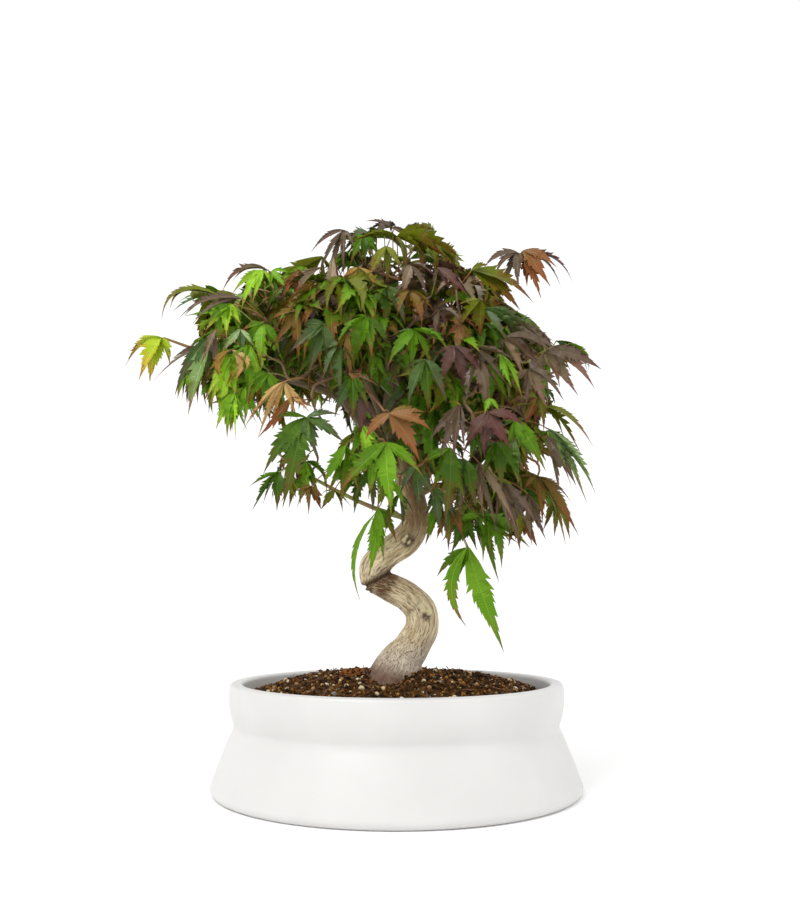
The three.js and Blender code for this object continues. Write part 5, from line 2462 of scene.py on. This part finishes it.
@dataclass
class Branching:
    """Twigs that run from the boughs to the foot of each leaf's stalk, and the stalks."""

    wood: Wood
    node_gap: float = 6.0
    detour: float = 0.3
    lowest: float = 178.0
    share_within: float = 9.0
    unevenness: float = 0.05
    bough_step: float = 5.0
    twig_step: float = 3.5
    twig_radius: float = 0.34
    twig_growth: float = 0.42
    growth_power: float = 0.45
    brown_from: float = 1.1
    ruddy_share: float = 0.6
    stalk_places: tuple[float, ...] = (0, 0.12, 0.9, 1)
    stalk_radii: tuple[float, ...] = (0.6, 0.4, 0.34, 0.5)
    seed: int = 8

    def __post_init__(self) -> None:
        """Starts from samples of the boughs."""
        self.places: list[np.ndarray] = []
        self.headings: list[np.ndarray] = []
        self.parents: list[int] = []
        self.paths: list[float] = []
        limbs = [self.wood.trunk_upper, *self.wood.boughs.values(), *self.wood.young.values()]
        for limb in limbs:
            line = smooth_curve(np.array(limb, float), self.bough_step)[:, :3]
            for place, heading in zip(line, unit(np.gradient(line, axis=0))):
                if place[2] > self.lowest:
                    self._node(place, heading, -1, 0.0)
        self.fixed = len(self.places)
        self.rng = np.random.default_rng(self.seed)

    def _node(self, place: np.ndarray, heading: np.ndarray, parent: int, path: float) -> int:
        """Adds a node of a twig.

        Args:
            place: Where it is.
            heading: The way that the wood runs there.
            parent: The node that it grows from, or -1.
            path: How far it is along the twig from the bough.

        Returns:
            Its number.
        """
        self.places.append(place)
        self.headings.append(heading)
        self.parents.append(parent)
        self.paths.append(path)
        return len(self.places) - 1

    def _reach(self, bud: np.ndarray) -> int:
        """Grows a twig to a bud, unless one ends close by.

        Args:
            bud: Where the leaf's stalk starts.

        Returns:
            The node that the stalk grows from.
        """
        away = np.linalg.norm(np.array(self.places) - bud, axis=1)
        cost = away + self.detour * np.array(self.paths)
        nearest = int(cost.argmin())
        if away[nearest] < self.share_within and nearest >= self.fixed:
            return nearest
        start, gap = self.places[nearest], away[nearest]
        bend = start + self.headings[nearest] * gap * 0.35 + (bud - start) * 0.2
        bend = bend + self.rng.normal(0, self.unevenness, 3) * gap
        steps = max(2, int(gap / self.node_gap))
        last, before = nearest, start
        for t in np.linspace(0, 1, steps + 1)[1:]:
            place = bowed(start, bend, bud, t)
            stride = float(np.linalg.norm(place - before))
            last = self._node(place, unit(place - before), last, self.paths[last] + stride)
            before = place
        return last

    def build(self, stalks: Sequence[tuple[np.ndarray, np.ndarray, Tint]]) -> list[bpy.types.Object]:
        """Makes the twigs and the stalks.

        Args:
            stalks: The foot, the end and the tint of each leaf's stalk.

        Returns:
            Both pieces.
        """
        limbs = np.array(self.places)
        order = np.argsort([np.linalg.norm(limbs - foot, axis=1).min() for foot, _, _ in stalks])
        ends = []
        for number in order:
            foot, end, tint = stalks[number]
            ends.append((self._reach(foot), end, tint))
        uses = np.zeros(len(self.places))
        for node, _, _ in ends:
            while node >= self.fixed:
                uses[node] += 1
                node = self.parents[node]
        return [self._twigs(uses), self._stalks(ends)]

    def _twigs(self, uses: np.ndarray) -> bpy.types.Object:
        """Makes the twigs, each as long as it runs without meeting a longer one.

        Args:
            uses: How many leaves hang from each node.

        Returns:
            The object.
        """
        piece = Piece("twigs")
        brown = Stalk("twig_brown", "#5d4330", "#86684a", 0.7)
        ruddy = Stalk("twig_ruddy", "#7c4a33", "#a06f4c", 0.6)
        green = Stalk("twig_green", "#7b7d3a", "#8e6c42", 0.55)
        seen = set(range(self.fixed))
        for tip in sorted(range(self.fixed, len(self.places)), key=lambda n: -self.paths[n]):
            chain = [tip]
            while chain[-1] not in seen and self.parents[chain[-1]] >= 0:
                seen.add(chain[-1])
                chain.append(self.parents[chain[-1]])
            if len(chain) < 3:
                continue
            chain = chain[::-1]
            radii = self.twig_radius + self.twig_growth * uses[chain].clip(1) ** self.growth_power
            radii[0] = radii[1]
            points = np.column_stack([[self.places[n] for n in chain], radii])
            line = smooth_curve(points, self.twig_step)
            thick = radii.mean() > self.brown_from
            kind = brown if thick else ruddy if self.rng.random() < self.ruddy_share else green
            piece.add_tube(line[:, :3], line[:, 3], 6, kind)
        return piece.build("bark")

    def _stalks(self, ends: Sequence[tuple[int, np.ndarray, Tint]]) -> bpy.types.Object:
        """Makes the leaf stalks.

        Args:
            ends: The node, the far end and the tint of each.

        Returns:
            The object.
        """
        piece = Piece("leaf_stalks")
        red = Stalk("stalk_red", "#6e3a1e", "#94602f")
        amber = Stalk("stalk_amber", "#94722c", "#80501f")
        lime = Stalk("stalk_lime", "#84923a", "#9a9248")
        greens = (Tint.LIME, Tint.FRESH, Tint.BRIGHT, Tint.GREEN, Tint.OLIVE)
        for node, end, tint in ends:
            start = self.places[node]
            gap = float(np.linalg.norm(end - start))
            bend = (start + end) / 2 + UP * gap * self.rng.uniform(0.02, 0.2)
            bend = bend + self.rng.normal(0, self.unevenness, 3) * gap
            t = np.linspace(0, 1, 7)[:, None]
            line = bowed(start, bend, end, t)
            radii = np.interp(t[:, 0], self.stalk_places, self.stalk_radii)
            chances = (0.15, 0.5) if tint in greens else (0.55, 0.9)
            draw = self.rng.random()
            kind = red if draw < chances[0] else amber if draw < chances[1] else lime
            piece.add_tube(line, radii, 5, kind)
        return piece.build("foliage")


# ------------------------------------------------------------------ studio


@dataclass
class Studio:
    """A pale floor, soft white light all round, two large soft lamps and the camera."""

    view: FrontView = field(default_factory=FrontView)
    lens: float = 39.387
    floor_size: float = 14.0
    sky_strength: float = 1.08
    aim_height: float = 0.24

    def _lamp(self, name: str, place: Sequence[float], size: float, power: float) -> None:
        """Adds a large soft lamp that shines at the crown.

        Args:
            name: Its name.
            place: Where it hangs, in metres.
            size: How wide it is, in metres.
            power: Its power, in watts.
        """
        data = bpy.data.lights.new(name, "AREA")
        data.shape = "DISK"
        data.size = size
        data.energy = power
        lamp = bpy.data.objects.new(name, data)
        lamp.location = place
        aim = Vector((0, 0, self.aim_height)) - Vector(place)
        lamp.rotation_euler = aim.to_track_quat("-Z", "Y").to_euler()
        bpy.context.scene.collection.objects.link(lamp)

    def _floor(self) -> None:
        """Adds the floor."""
        half = self.floor_size / 2
        mesh = bpy.data.meshes.new("floor")
        corners = [(-half, -half, 0), (half, -half, 0), (half, half, 0), (-half, half, 0)]
        mesh.from_pydata(corners, [], [(0, 1, 2, 3)])
        sheet = Sheet("floor_paint")
        cloud = sheet.noise(sheet.place(), 3.0, 2.0)
        roughness = 0.75 + 0.1 * (cloud - 0.5)
        paint = sheet.finish(Base_Color=tone("#fdfdfd"), Roughness=roughness, Specular_IOR_Level=0.2)
        mesh.materials.append(paint)
        floor = bpy.data.objects.new("floor", mesh)
        bpy.context.scene.collection.objects.link(floor)
        floor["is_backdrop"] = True

    def build(self) -> None:
        """Sets the studio up."""
        scene = bpy.context.scene
        world = bpy.data.worlds.new("studio_air")
        world.use_nodes = True
        background = world.node_tree.nodes["Background"]
        background.inputs["Color"].default_value = (1, 1, 1, 1)
        background.inputs["Strength"].default_value = self.sky_strength
        scene.world = world
        scene.view_settings.view_transform = "Standard"
        self._floor()
        self._lamp("key_lamp", (-0.8, -1.1, 1.6), 0.8, 15)
        self._lamp("fill_lamp", (1.4, -1.0, 0.9), 1.4, 3)
        data = bpy.data.cameras.new("camera")
        data.lens = self.lens
        data.clip_start = 0.01
        camera = bpy.data.objects.new("camera", data)
        camera.location = [c * MM for c in self.view.eye]
        camera.rotation_euler = (math.radians(90 + self.view.pitch), 0, 0)
        scene.collection.objects.link(camera)
        scene.camera = camera


# ------------------------------------------------------------------ the whole


def report(made: Iterable[bpy.types.Object]) -> None:
    """Logs the size of each piece.

    Args:
        made: The pieces.
    """
    for piece in made:
        triangles = sum(len(face.vertices) - 2 for face in piece.data.polygons)
        log.info("%s: %d triangles, %d finishes", piece.name, triangles, len(piece.data.materials))


def main() -> None:
    """Builds the plant, its pot and the studio."""
    logging.basicConfig(level=logging.INFO, format="%(message)s")
    wood = Wood()
    crown = Crown()
    crown.place()
    crown.grow()
    soil = Soil()
    report([Pot().build(), soil.mound(), *soil.litter()])
    report(wood.build())
    report(crown.build())
    report(Branching(wood).build(crown.stalks))
    Studio().build()
    boxes = {"cad": CAD_BOX, "visual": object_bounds()}
    {name: [list(corner) for corner in box] for name, box in boxes.items()}


if __name__ == "__main__":
    main()
